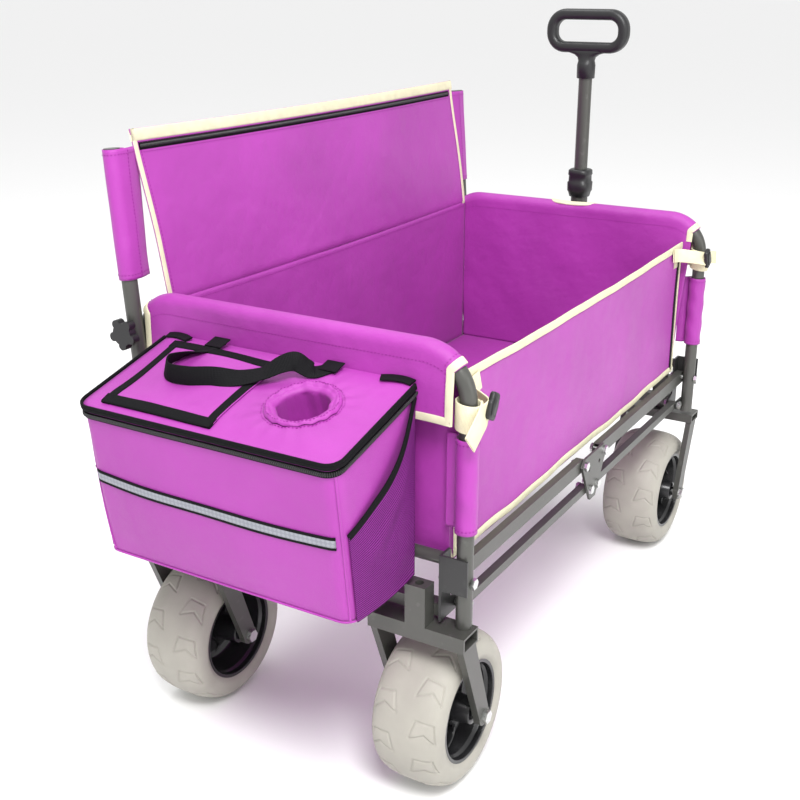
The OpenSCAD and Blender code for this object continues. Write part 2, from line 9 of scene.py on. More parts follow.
import bmesh
import bpy
import numpy as np
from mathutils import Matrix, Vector


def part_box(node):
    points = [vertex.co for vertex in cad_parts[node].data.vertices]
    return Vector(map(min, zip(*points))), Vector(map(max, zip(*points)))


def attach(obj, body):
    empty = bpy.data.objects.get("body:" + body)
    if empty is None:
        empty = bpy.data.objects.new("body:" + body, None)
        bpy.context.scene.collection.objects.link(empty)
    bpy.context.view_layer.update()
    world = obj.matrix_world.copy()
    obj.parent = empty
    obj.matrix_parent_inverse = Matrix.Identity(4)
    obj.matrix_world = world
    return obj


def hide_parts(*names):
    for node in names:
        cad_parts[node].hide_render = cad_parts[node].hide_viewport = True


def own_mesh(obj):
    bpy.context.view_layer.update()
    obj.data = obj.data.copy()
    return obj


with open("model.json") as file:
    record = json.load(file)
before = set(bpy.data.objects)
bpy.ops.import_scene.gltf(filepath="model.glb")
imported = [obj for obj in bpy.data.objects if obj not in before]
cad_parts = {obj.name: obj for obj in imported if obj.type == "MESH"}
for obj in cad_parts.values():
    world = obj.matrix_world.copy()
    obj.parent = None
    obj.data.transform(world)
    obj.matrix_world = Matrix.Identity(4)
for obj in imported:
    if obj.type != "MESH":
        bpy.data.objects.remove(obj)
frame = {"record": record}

LOG = logging.getLogger("beach_cart")
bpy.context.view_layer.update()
Array = np.ndarray
Node = bpy.types.Node
Piece = bpy.types.Object
Socket = bpy.types.NodeSocket
Tree = bpy.types.NodeTree
Shape = Callable[[Array, Array], Array]
Flat = tuple[float, float]
UP = np.array([0.0, 0.0, 1.0])


class End(Enum):
    """The two ends of the cart; the value turns inboard distances into X."""

    REAR = 1
    FRONT = -1

    @property
    def word(self) -> str:
        """The end's name in node and body names."""
        return self.name.lower()

    @property
    def body(self) -> str:
        """The rigid body of this end's frame."""
        return f"{self.word}_frame"


class Side(Enum):
    """The two long sides; the value is the sign of Y."""

    LEFT = 1
    RIGHT = -1

    @property
    def word(self) -> str:
        """The side's name in node names."""
        return self.name.lower()


# ---------------------------------------------------------------- finishes


class NodePen:
    """Adds nodes to a tree and links them in few words."""

    def __init__(self, tree: Tree) -> None:
        """Keeps the tree.

        Args:
            tree: the node tree that is written.
        """
        self.tree = tree

    def node(self, kind: str, inputs: dict | None = None, **settings: object) -> Node:
        """Adds one node.

        Args:
            kind: the node's type name.
            inputs: socket name or number to a value, or to a socket that feeds it.
            settings: attributes of the node.

        Returns:
            The new node.
        """
        made = self.tree.nodes.new(kind)
        for name, value in settings.items():
            setattr(made, name, value)
        for key, value in (inputs or {}).items():
            if isinstance(value, Socket):
                self.tree.links.new(value, made.inputs[key])
            else:
                made.inputs[key].default_value = value
        return made

    def math(self, operation: str, *values: object) -> Socket:
        """A Math node's result for the given values or sockets."""
        return self.node("ShaderNodeMath", dict(enumerate(values)), operation=operation).outputs[0]

    def ramp(self, factor: Socket, low: float, high: float) -> Socket:
        """Maps a factor between low and high to 0 to 1, clamped."""
        made = self.node("ShaderNodeMapRange", {"Value": factor, "From Min": low, "From Max": high})
        return made.outputs["Result"]

    def mix(self, factor: Socket, first: Sequence[float], second: Sequence[float]) -> Socket:
        """Mixes two colours by a factor."""
        made = self.node("ShaderNodeMix", data_type="RGBA")
        self.tree.links.new(factor, made.inputs[0])
        for socket, value in ((6, first), (7, second)):
            if isinstance(value, Socket):
                self.tree.links.new(value, made.inputs[socket])
            else:
                made.inputs[socket].default_value = (*value, 1.0)
        return made.outputs[2]

    def cloth_axes(self) -> Sequence[Socket]:
        """The distances along and up a piece's own UV map."""
        cloth = self.node("ShaderNodeTexCoord").outputs["UV"]
        return self.node("ShaderNodeSeparateXYZ", {0: cloth}).outputs

    def noise(self, where: Socket, scale: float, detail: float = 3.0) -> Socket:
        """A noise pattern's factor, with scale in waves per metre."""
        return self.node(
            "ShaderNodeTexNoise", {"Vector": where, "Scale": scale, "Detail": detail}
        ).outputs[0]


@dataclass(frozen=True)
class Finish:
    """A material: its colour, gloss and the scale of its texture.

    Attributes:
        name: the material's name.
        slot: the record's material slot.
        colour: linear base colour.
        rough: roughness in the middle of its range.
    """

    name: str
    slot: str
    colour: tuple[float, float, float]
    rough: float

    def shade(self, pen: NodePen, where: Socket, shader: Node) -> Socket | None:
        """Writes the texture nodes; subclasses override it.

        Args:
            pen: the pen on the material's tree.
            where: object coordinates.
            shader: the Principled node.

        Returns:
            The height for the bump, or None.
        """
        return None

    def bump_mm(self) -> float:
        """The height of the surface texture in millimetres."""
        return 0.1

    def material(self) -> bpy.types.Material:
        """The Blender material, built at its first use."""
        label = f"{self.name}_look"
        found = bpy.data.materials.get(label)
        if found:
            return found
        made = bpy.data.materials.new(label)
        made.use_nodes = True
        pen = NodePen(made.node_tree)
        shader = made.node_tree.nodes["Principled BSDF"]
        shader.inputs["Base Color"].default_value = (*self.colour, 1.0)
        shader.inputs["Roughness"].default_value = self.rough
        where = pen.node("ShaderNodeTexCoord").outputs["Object"]
        height = self.shade(pen, where, shader)
        if height is not None:
            bump = pen.node(
                "ShaderNodeBump", {"Height": height, "Distance": self.bump_mm() / 1000, "Strength": 1.0}
            )
            made.node_tree.links.new(bump.outputs[0], shader.inputs["Normal"])
        made.diffuse_color = (*self.colour, 1.0)
        return made

    def vary(self, pen: NodePen, factor: Socket, shader: Node, dark: float, light: float) -> None:
        """Varies the base colour between two brightnesses of itself."""
        low = tuple(c * dark for c in self.colour)
        high = tuple(min(c * light, 1.0) for c in self.colour)
        pen.tree.links.new(pen.mix(factor, low, high), shader.inputs["Base Color"])

    def vary_rough(self, pen: NodePen, factor: Socket, shader: Node, spread: float) -> None:
        """Varies the roughness by a spread either way."""
        made = pen.node(
            "ShaderNodeMapRange",
            {"Value": factor, "To Min": self.rough - spread, "To Max": self.rough + spread}
        )
        pen.tree.links.new(made.outputs["Result"], shader.inputs["Roughness"])


@dataclass(frozen=True)
class Woven(Finish):
    """Coated woven polyester, with its threads on the cloth's own UV map in metres."""

    sheen: float = 0.07
    pitch_mm: float = 0.9
    crease: float = 1.0

    def bump_mm(self) -> float:
        """The height of threads and creases together."""
        return 1.0

    def shade(self, pen: NodePen, where: Socket, shader: Node) -> Socket:
        """Plain weave, slack creases and a little unevenness in the dye."""
        axes = pen.cloth_axes()
        turns = 2000 * math.pi / self.pitch_mm
        warp = pen.math("SINE", pen.math("MULTIPLY", axes[0], turns))
        weft = pen.math("SINE", pen.math("MULTIPLY", axes[1], turns))
        weave = pen.math("MULTIPLY", warp, weft)
        creases = pen.noise(where, 9.0, 2.0)
        crumple = pen.noise(where, 34.0, 3.0)
        dye = pen.noise(where, 5.0, 4.0)
        thread = pen.math("MULTIPLY_ADD", weave, 0.12, dye)
        self.vary(pen, pen.ramp(thread, 0.3, 0.75), shader, 0.9, 1.1)
        self.vary_rough(pen, crumple, shader, 0.06)
        shader.inputs["Sheen Weight"].default_value = self.sheen
        shader.inputs["Sheen Roughness"].default_value = 0.45
        shader.inputs["Specular IOR Level"].default_value = 0.5
        slack = pen.math(
            "MULTIPLY_ADD", creases, 6.0 * self.crease, pen.math("MULTIPLY", crumple, 1.7 * self.crease)
        )
        return pen.math("MULTIPLY_ADD", weave, 0.05, slack)


@dataclass(frozen=True)
class Webbing(Finish):
    """Ribbed narrow weave: straps, tapes and bindings."""

    pitch_mm: float = 1.6

    def bump_mm(self) -> float:
        """The height of the ribs."""
        return 0.16

    def shade(self, pen: NodePen, where: Socket, shader: Node) -> Socket:
        """Ribs across the tape, with a fainter pattern along it."""
        axes = pen.cloth_axes()
        turns = 2000 * math.pi / self.pitch_mm
        rib = pen.math("SINE", pen.math("MULTIPLY", axes[1], turns))
        cross = pen.math("SINE", pen.math("MULTIPLY", axes[0], turns * 0.7))
        height = pen.math("MULTIPLY_ADD", cross, 0.35, rib)
        tone = pen.math("MULTIPLY_ADD", height, 0.1, pen.noise(where, 60.0, 4.0))
        self.vary(pen, pen.ramp(tone, 0.3, 0.7), shader, 0.92, 1.05)
        shader.inputs["Specular IOR Level"].default_value = 0.08
        return height


@dataclass(frozen=True)
class OpenMesh(Finish):
    """Net with a regular hole pattern on the cloth's UV map."""

    pitch_mm: float = 4.8

    def bump_mm(self) -> float:
        """The height of the net's threads."""
        return 0.6

    def shade(self, pen: NodePen, where: Socket, shader: Node) -> Socket:
        """The net's holes in rows between lighter threads; the holes' dark colour is painted shade for the
        bag seen through them.
        """
        axes = pen.cloth_axes()
        turns = 2000 * math.pi / self.pitch_mm
        rib = pen.math("SINE", pen.math("MULTIPLY", axes[1], turns))
        cross = pen.math("SINE", pen.math("MULTIPLY", pen.math("ADD", axes[0], axes[1]), turns * 1.7))
        # painted shade: the holes are coloured at 0.22 of the net's colour to stand for the shaded bag
        # behind them
        hole = pen.ramp(pen.math("MULTIPLY_ADD", cross, 0.35, rib), -0.2, 0.7)
        threads = pen.mix(pen.noise(where, 18.0), self.colour, tuple(c * 1.4 for c in self.colour))
        pen.tree.links.new(
            pen.mix(hole, threads, tuple(c * 0.22 for c in self.colour)), shader.inputs["Base Color"]
        )
        shader.inputs["Specular IOR Level"].default_value = 0.15
        return pen.math("SUBTRACT", 1.0, hole)


@dataclass(frozen=True)
class PowderCoat(Finish):
    """Satin metal paint with a fine orange peel and faint scuffs."""

    metal: float = 0.35

    def bump_mm(self) -> float:
        """The height of the orange peel."""
        return 0.06

    def shade(self, pen: NodePen, where: Socket, shader: Node) -> Socket:
        """Orange peel, cloudy gloss and rubbed patches."""
        peel = pen.noise(where, 900.0, 2.0)
        cloud = pen.noise(where, 14.0, 5.0)
        scuff = pen.ramp(pen.noise(where, 70.0, 8.0), 0.62, 0.72)
        worn = tuple(min(c * 1.7 + 0.03, 1.0) for c in self.colour)
        cloudy = pen.mix(cloud, tuple(c * 0.85 for c in self.colour), tuple(c * 1.15 for c in self.colour))
        rubbed = pen.mix(pen.math("MULTIPLY", scuff, 0.25), cloudy, worn)
        pen.tree.links.new(rubbed, shader.inputs["Base Color"])
        self.vary_rough(pen, cloud, shader, 0.09)
        shader.inputs["Metallic"].default_value = self.metal
        return peel


@dataclass(frozen=True)
class Moulded(Finish):
    """Moulded plastic or foam rubber with a fine grain and mottling."""

    grain: float = 600.0
    grain_mm: float = 0.08
    mottle: float = 0.1

    def bump_mm(self) -> float:
        """The height of the grain."""
        return self.grain_mm

    def shade(self, pen: NodePen, where: Socket, shader: Node) -> Socket:
        """Fine grain with a soft cloud of tone and gloss."""
        cloud = pen.noise(where, 22.0, 6.0)
        self.vary(pen, pen.ramp(cloud, 0.3, 0.7), shader, 1 - self.mottle, 1 + self.mottle)
        self.vary_rough(pen, cloud, shader, 0.07)
        return pen.noise(where, self.grain, 3.0)


@dataclass(frozen=True)
class Plated(Finish):
    """Zinc plate with a fine spangle."""

    def bump_mm(self) -> float:
        """The height of the spangle."""
        return 0.03

    def shade(self, pen: NodePen, where: Socket, shader: Node) -> Socket:
        """Spangled tone and gloss on bare metal."""
        spangle = pen.noise(where, 260.0, 5.0)
        self.vary(pen, spangle, shader, 0.8, 1.1)
        self.vary_rough(pen, spangle, shader, 0.1)
        shader.inputs["Metallic"].default_value = 1.0
        return spangle


@dataclass(frozen=True)
class Reflective(Finish):
    """Retro-reflective tape with a fine diamond grid."""

    def bump_mm(self) -> float:
        """The depth of the grid."""
        return 0.15

    def shade(self, pen: NodePen, where: Socket, shader: Node) -> Socket:
        """Bright diamonds in a greyer grid."""
        axes = pen.cloth_axes()
        turns = 2 * math.pi / 0.012
        across = pen.math("SINE", pen.math("MULTIPLY", pen.math("ADD", axes[0], axes[1]), turns))
        along = pen.math("SINE", pen.math("MULTIPLY", pen.math("SUBTRACT", axes[0], axes[1]), turns))
        grid = pen.ramp(pen.math("MULTIPLY", across, along), -0.1, 0.3)
        self.vary(
            pen, pen.math("MULTIPLY_ADD", pen.noise(where, 40.0), 0.5, pen.math("MULTIPLY", grid, 0.5)),
            shader, 0.7, 1.1
        )
        shader.inputs["Metallic"].default_value = 0.45
        return grid


PURPLE = Woven("fabric_purple", "fabric_purple", (0.345, 0.031, 0.325), 0.5)
PURPLE_STIFF = Woven("bag_purple", "fabric_purple", (0.345, 0.031, 0.325), 0.5, crease=0.8)
CREAM = Webbing("binding_cream", "webbing_cream", (0.74, 0.70, 0.50), 0.75, pitch_mm=1.1)
STRAP_CREAM = Webbing("webbing_cream", "webbing_cream", (0.74, 0.69, 0.48), 0.72, pitch_mm=1.8)
BLACK_TAPE = Webbing("binding_black", "webbing_black", (0.007, 0.007, 0.008), 0.7, pitch_mm=1.1)
BLACK_WEB = Webbing("webbing_black", "webbing_black", (0.007, 0.007, 0.008), 0.62, pitch_mm=1.8)
THREAD = Webbing("thread_purple", "fabric_purple", (0.26, 0.022, 0.24), 0.6, pitch_mm=0.6)
NET = OpenMesh("mesh_purple", "mesh_purple", (0.17, 0.016, 0.18), 0.7)
PAINT = PowderCoat("frame_paint", "frame_paint", (0.078, 0.078, 0.071), 0.36)
BRACKET = PowderCoat("bracket_black", "bracket_black", (0.028, 0.028, 0.028), 0.4, metal=0.2)
ZINC = Plated("bolt_zinc", "bolt_zinc", (0.66, 0.67, 0.66), 0.3)
PLASTIC = Moulded("plastic_black", "plastic_black", (0.011, 0.011, 0.012), 0.42)
GLOSS = Moulded("rim_black", "rim_black", (0.012, 0.012, 0.013), 0.24, grain=900.0, grain_mm=0.02)
TYRE = Moulded(
    "tyre_grey", "tyre_grey", (0.34, 0.325, 0.285), 0.62, grain=420.0, grain_mm=0.12, mottle=0.07
)
SILVER = Reflective("reflective", "reflective", (0.30, 0.31, 0.35), 0.45)
SLOT_FINISH = {
    f.slot: f
    for f in (PURPLE, STRAP_CREAM, BLACK_WEB, NET, PAINT, BRACKET, ZINC, PLASTIC, GLOSS, TYRE, SILVER)
}


# ---------------------------------------------------------------- meshes


def unit(v: Array) -> Array:
    """Vectors scaled to length one along their last axis."""
    return v / np.maximum(np.linalg.norm(v, axis=-1, keepdims=True), 1e-12)


def smooth(t: Array | float) -> Array:
    """A smooth step from 0 to 1 over the range 0 to 1."""
    t = np.clip(t, 0, 1)
    return t * t * (3 - 2 * t)


def new_object(
    name: str, points: Array, faces: Array | list, finish: Finish, uv: Array | None = None
) -> Piece:
    """Makes a smooth-shaded mesh object in the row frame.

    Args:
        name: the piece's name.
        points: vertices in metres.
        faces: vertex numbers of each face.
        finish: what it is dressed in.
        uv: one UV pair for each vertex, in metres on the flat piece.

    Returns:
        The linked object, at the origin.
    """
    mesh = bpy.data.meshes.new(name)
    mesh.from_pydata([tuple(p) for p in np.asarray(points, float)], [], [tuple(map(int, f)) for f in faces])
    mesh.polygons.foreach_set("use_smooth", [True] * len(mesh.polygons))
    if uv is not None:
        layer = mesh.uv_layers.new(name="UVMap")
        corner = np.zeros(len(mesh.loops), np.int64)
        mesh.loops.foreach_get("vertex_index", corner)
        layer.data.foreach_set("uv", np.asarray(uv, float)[corner].ravel())
    mesh.materials.append(finish.material())
    mesh.validate()
    made = bpy.data.objects.new(name, mesh)
    bpy.context.scene.collection.objects.link(made)
    return made


def run_of(path: Array) -> Array:
    """The distance along a path at each of its points."""
    return np.concatenate([[0], np.cumsum(np.linalg.norm(np.diff(path, axis=0), axis=1))])


def spots_at(x: Array | float, y: Array | float, z: Array | float) -> Array:
    """Points from their coordinates, which are broadcast together."""
    return np.stack(np.broadcast_arrays(x, y, z), -1)


def capped(rows: int, columns: int) -> list[tuple[int, ...]]:
    """The faces of a stack of rings, closed by a cap at each end."""
    faces = [tuple(f) for f in grid_faces(rows, columns, False, True)]
    return faces + [tuple(range(columns - 1, -1, -1)), tuple(range((rows - 1) * columns, rows * columns))]


def grid_faces(rows: int, columns: int, wrap_rows: bool = False, wrap_columns: bool = False) -> Array:
    """Quads over a grid of rows x columns vertices, numbered row by row."""
    i = np.arange(rows if wrap_rows else rows - 1)
    j = np.arange(columns if wrap_columns else columns - 1)
    ii, jj = (g.ravel() for g in np.meshgrid(i, j, indexing="ij"))
    ni, nj = (ii + 1) % rows, (jj + 1) % columns
    return np.stack([ii * columns + jj, ni * columns + jj, ni * columns + nj, ii * columns + nj], 1)


def joined(name: str, parts: Sequence[Piece]) -> Piece:
    """Joins objects into one mesh, keeping materials and UVs.

    Args:
        name: the joined piece's name.
        parts: the objects, which are removed.

    Returns:
        The joined object.
    """
    with bpy.context.temp_override(active_object=parts[0], selected_editable_objects=list(parts)):
        bpy.ops.object.join()
    parts[0].name = name
    parts[0].data.name = name
    return parts[0]


def solidify(made: Piece, thick: float, offset: float = 0.0) -> Piece:
    """Gives a sheet its thickness and returns it."""
    modifier = made.modifiers.new("thickness", "SOLIDIFY")
    modifier.thickness = thick
    modifier.offset = offset
    return made


def lathe(
    name: str, profile: Sequence[Flat], centre: Array, axis: Array, finish: Finish, turns: int
) -> Piece:
    """Turns a profile of (distance along the axis, radius) round an axis.

    Args:
        name: the piece's name.
        profile: the closed outline, going so that the solid is on its right.
        centre: a point on the axis.
        axis: the axis direction.
        finish: what it is dressed in.
        turns: steps round the axis.

    Returns:
        The new object.
    """
    axis = unit(np.asarray(axis, float))
    side = unit(np.cross(axis, UP if abs(axis[2]) < 0.9 else np.array([1.0, 0, 0])))
    other = np.cross(axis, side)
    angles = np.linspace(0, 2 * math.pi, turns, endpoint=False)
    rim = np.cos(angles)[:, None] * side + np.sin(angles)[:, None] * other
    out = np.array(profile, float)
    points = centre + out[None, :, :1] * axis + out[None, :, 1:] * rim[:, None, :]
    faces = grid_faces(turns, len(out), True, True)
    lengths = run_of(out)
    uv = np.stack(np.broadcast_arrays(angles[:, None] * 0.05, lengths[None, :]), -1).reshape(-1, 2)
    return new_object(name, points.reshape(-1, 3), faces, finish, uv)


def rounded(corners: Sequence[tuple[float, float, float]], steps: int = 5) -> list[Flat]:
    """A closed outline with each corner (x, y, radius) rounded by an arc.

    Args:
        corners: the corner points with their radii.
        steps: points on each arc.

    Returns:
        The outline's points.
    """
    out: list[Flat] = []
    flat = np.array([c[:2] for c in corners], float)
    for i, (x, y, r) in enumerate(corners):
        here = np.array([x, y])
        a, b = unit(flat[i - 1] - here), unit(flat[(i + 1) % len(flat)] - here)
        if r <= 0:
            out.append((x, y))
            continue
        half = math.acos(float(np.clip(a @ b, -1, 1))) / 2
        centre = here + unit(a + b) * r / math.sin(half)
        first, last = here + a * r / math.tan(half) - centre, here + b * r / math.tan(half) - centre
        for k in range(steps + 1):
            t = k / steps
            turn = first * math.sin((1 - t) * (math.pi - 2 * half)) + last * math.sin(
                t * (math.pi - 2 * half)
            )
            out.append(tuple(centre + unit(turn) * r))
    return out


def swept(
    name: str, path: Array, across: Array, width: float, thick: float, finish: Finish, lift: float = 0.0
) -> Piece:
    """Sweeps a flat tape with rounded edges along a path.

    Args:
        name: the piece's name.
        path: points in the middle of the tape.
        across: the tape's width direction at each point.
        width: the tape's width.
        thick: its thickness.
        finish: what it is dressed in.
        lift: how far it is raised along its normal.

    Returns:
        The new object, closed at both ends.
    """
    ahead = unit(np.gradient(path, axis=0))
    across = unit(across - (across * ahead).sum(1, keepdims=True) * ahead)
    normal = np.cross(ahead, across)
    w, t, r = width / 2, thick / 2, min(thick, width) * 0.49
    corners = [(-w, -t, r), (w, -t, r), (w, t, r), (-w, t, r)]
    section = np.array(rounded(corners, 2))
    n, m = len(path), len(section)
    points = (path + normal * lift)[:, None] + section[None, :, :1] * across[:, None] + section[
        None, :, 1:
    ] * normal[:, None]
    lengths = run_of(path)
    uv = np.stack(np.broadcast_arrays(section[None, :, 0] + w, lengths[:, None]), -1).reshape(-1, 2)
    flipped = [tuple(reversed(f)) for f in capped(n, m)]
    return new_object(name, points.reshape(-1, 3), flipped, finish, uv)


def curved(points: Sequence[Sequence[float]], steps: int) -> Array:
    """A smooth curve through the points, with even steps between them.

    Args:
        points: what the curve passes through.
        steps: points on each span.

    Returns:
        The curve's points.
    """
    p = np.array(points, float)
    p = np.vstack([2 * p[0] - p[1], p, 2 * p[-1] - p[-2]])
    t = np.linspace(0, 1, steps, endpoint=False)[:, None]
    spans = []
    for a, b, c, d in zip(p, p[1:], p[2:], p[3:]):
        spans.append(
            0.5
            * (2 * b + (c - a) * t + (2 * a - 5 * b + 4 * c - d) * t**2 + (3 * b - a - 3 * c + d) * t**3)
        )
    return np.vstack([*spans, p[-2:-1]])


class Folds:
    """Smooth, seeded waves that stand for the slack in a cloth."""

    def __init__(self, seed: int, shortest: float, longest: float, count: int = 9) -> None:
        """Draws the waves.

        Args:
            seed: fixes the draw.
            shortest: shortest wavelength in metres.
            longest: longest wavelength in metres.
            count: how many waves are added.
        """
        draw = np.random.default_rng(seed)
        length = np.exp(draw.uniform(math.log(shortest), math.log(longest), count))
        angle = draw.uniform(0, 2 * math.pi, count)
        self.waves = np.stack([np.cos(angle), np.sin(angle)], 1) * (2 * math.pi / length)[:, None]
        self.phase = draw.uniform(0, 2 * math.pi, count)
        self.weight = length / length.sum()

    def at(self, a: Array, b: Array) -> Array:
        """The height from about -1 to 1 at flat coordinates in metres."""
        total = np.zeros(np.broadcast(a, b).shape)
        for (ka, kb), phase, weight in zip(self.waves, self.phase, self.weight):
            total += 2 * weight * np.sin(ka * a + kb * b + phase)
        return total


@dataclass
class Cloth:
    """A sheet of cloth: a flat rectangle and the shape it hangs in.

    Attributes:
        name: the piece's name.
        width: flat width in metres.
        height: flat height in metres.
        shape: turns flat coordinates into points in the row frame.
        cells: grid cells along the width and the height.
    """

    name: str
    width: float
    height: float
    shape: Shape
    cells: tuple[int, int]

    def make(self, finish: Finish, thick: float = 0.0014) -> Piece:
        """Builds the sheet with its thickness.

        Args:
            finish: what it is dressed in.
            thick: thickness in metres.

        Returns:
            The new object.
        """
        nu, nv = self.cells
        a, b = np.meshgrid(
            np.linspace(0, self.width, nu + 1), np.linspace(0, self.height, nv + 1), indexing="ij"
        )
        points = self.shape(a, b)
        uv = np.stack([a, b], -1).reshape(-1, 2)
        made = new_object(self.name, points.reshape(-1, 3), grid_faces(nu + 1, nv + 1), finish, uv)
        return solidify(made, thick)

    def line(self, start: Flat, end: Flat, steps: int = 60) -> tuple[Array, Array, Array]:
        """A straight line on the flat cloth, laid on its shape.

        Args:
            start: flat coordinates where it starts.
            end: flat coordinates where it ends.
            steps: points along it.

        Returns:
            The points, the direction across the line in the cloth, and the normal.
        """
        t = np.linspace(0, 1, steps)
        a, b = start[0] + (end[0] - start[0]) * t, start[1] + (end[1] - start[1]) * t
        step = 1e-4
        way = unit(np.array([end[0] - start[0], end[1] - start[1]], float))
        points = self.shape(a, b)
        ahead = self.shape(a + way[0] * step, b + way[1] * step) - self.shape(
            a - way[0] * step, b - way[1] * step
        )
        across = self.shape(a - way[1] * step, b + way[0] * step) - self.shape(
            a + way[1] * step, b - way[0] * step
        )
        return points, unit(across), unit(np.cross(ahead, across))

    def tape(
        self, name: str, start: Flat, end: Flat, width: float, finish: Finish, thick: float = 0.0034,
        steps: int = 60, lift: float = 0.0
    ) -> Piece:
        """A binding or tape sewn along a straight line of the flat cloth.

        Args:
            name: the piece's name.
            start: flat coordinates where it starts.
            end: flat coordinates where it ends.
            width: the tape's width.
            finish: what it is dressed in.
            thick: its thickness, so that it stands proud on both faces.
            steps: points along it.
            lift: how far it is raised along the cloth's normal.

        Returns:
            The new object.
        """
        points, across, _ = self.line(start, end, steps)
        return swept(name, points, across, width, thick, finish, lift)

    def seam(self, start: Flat, end: Flat, lift: float, steps: int = 60) -> tuple[Array, Array]:
        """The path and normals of a line of stitches.

        Args:
            start: flat coordinates where it starts.
            end: flat coordinates where it ends.
            lift: height above the cloth's middle; negative is the other face.
            steps: points along it.

        Returns:
            The points and the normals.
        """
        points, _, normal = self.line(start, end, steps)
        return points + normal * lift, normal * (1 if lift >= 0 else -1)


# ---------------------------------------------------------------- what repeats


class Repeat:
    """A Geometry Nodes tree that repeats a small shape along paths."""

    SOCKETS = (
        ("Unit", "NodeSocketObject"), ("Spacing", "NodeSocketFloat"), ("Finish", "NodeSocketMaterial")
    )

    @classmethod
    def tree(cls) -> Tree:
        """The node tree, built at its first use.

        Returns:
            The tree: paths are resampled, and each point gets a unit turned by its attributes.
        """
        found = bpy.data.node_groups.get("repeat_unit")
        if found:
            return found
        tree = bpy.data.node_groups.new("repeat_unit", "GeometryNodeTree")
        tree.interface.new_socket("Geometry", in_out="INPUT", socket_type="NodeSocketGeometry")
        for name, kind in cls.SOCKETS:
            tree.interface.new_socket(name, in_out="INPUT", socket_type=kind)
        tree.interface.new_socket("Geometry", in_out="OUTPUT", socket_type="NodeSocketGeometry")
        pen = NodePen(tree)
        given = pen.node("NodeGroupInput").outputs
        curve = pen.node("GeometryNodeMeshToCurve", {"Mesh": given["Geometry"]})
        spaced = pen.node(
            "GeometryNodeResampleCurve", {"Curve": curve.outputs[0], "Length": given["Spacing"]},
            mode="LENGTH"
        )
        on_path = pen.node("GeometryNodeCurveToPoints", {"Curve": spaced.outputs[0]}, mode="EVALUATED")
        ahead = pen.node("GeometryNodeInputNamedAttribute", {"Name": "ahead"}, data_type="FLOAT_VECTOR")
        upward = pen.node("GeometryNodeInputNamedAttribute", {"Name": "upward"}, data_type="FLOAT_VECTOR")
        turn = pen.node(
            "FunctionNodeAxesToRotation",
            {"Primary Axis": upward.outputs[0], "Secondary Axis": ahead.outputs[0]}, primary_axis="Z",
            secondary_axis="X"
        )
        unit_shape = pen.node("GeometryNodeObjectInfo", {"Object": given["Unit"]})
        placed = pen.node(
            "GeometryNodeInstanceOnPoints",
            {
                "Points": on_path.outputs[0], "Instance": unit_shape.outputs["Geometry"],
                "Rotation": turn.outputs[0]
            }
        )
        real = pen.node("GeometryNodeRealizeInstances", {"Geometry": placed.outputs[0]})
        dressed = pen.node(
            "GeometryNodeSetMaterial", {"Geometry": real.outputs[0], "Material": given["Finish"]}
        )
        pen.node("NodeGroupOutput", {"Geometry": dressed.outputs[0]})
        return tree

    @classmethod
    def make(
        cls, name: str, paths: Sequence[tuple[Array, Array]], unit_shape: Piece, finish: Finish,
        spacing: float
    ) -> Piece:
        """Repeats a unit and turns the result into a plain mesh.

        Args:
            name: the piece's name.
            paths: the points of each path with their normals.
            unit_shape: the shape, lying along X with its top towards Z; it is kept for more use.
            finish: what the result is dressed in.
            spacing: distance between units along a path.

        Returns:
            The new plain mesh object.
        """
        points = np.vstack([p for p, _ in paths])
        normals = np.vstack([n for _, n in paths])
        ahead = np.vstack([unit(np.gradient(p, axis=0)) for p, _ in paths])
        edges, start = [], 0
        for p, _ in paths:
            edges += [(i, i + 1) for i in range(start, start + len(p) - 1)]
            start += len(p)
        mesh = bpy.data.meshes.new(name)
        mesh.from_pydata([tuple(p) for p in points], edges, [])
        for attribute, values in (("ahead", ahead), ("upward", normals)):
            mesh.attributes.new(attribute, "FLOAT_VECTOR", "POINT").data.foreach_set(
                "vector", np.asarray(values, np.float32).ravel()
            )
        path = bpy.data.objects.new(name, mesh)
        bpy.context.scene.collection.objects.link(path)
        modifier = path.modifiers.new("repeat", "NODES")
        modifier.node_group = cls.tree()
        values = {"Unit": unit_shape, "Spacing": spacing, "Finish": finish.material()}
        for item in cls.tree().interface.items_tree:
            if item.in_out == "INPUT" and item.name in values:
                modifier[item.identifier] = values[item.name]
        bpy.context.view_layer.update()
        plain = bpy.data.meshes.new_from_object(path.evaluated_get(bpy.context.evaluated_depsgraph_get()))
        path.modifiers.remove(modifier)
        path.data = plain
        plain.name = name
        return path

    @staticmethod
    def hide(unit_shape: Piece) -> Piece:
        """Takes a unit out of the scene, so that only its copies show, and returns it."""
        for collection in list(unit_shape.users_collection):
            collection.objects.unlink(unit_shape)
        return unit_shape


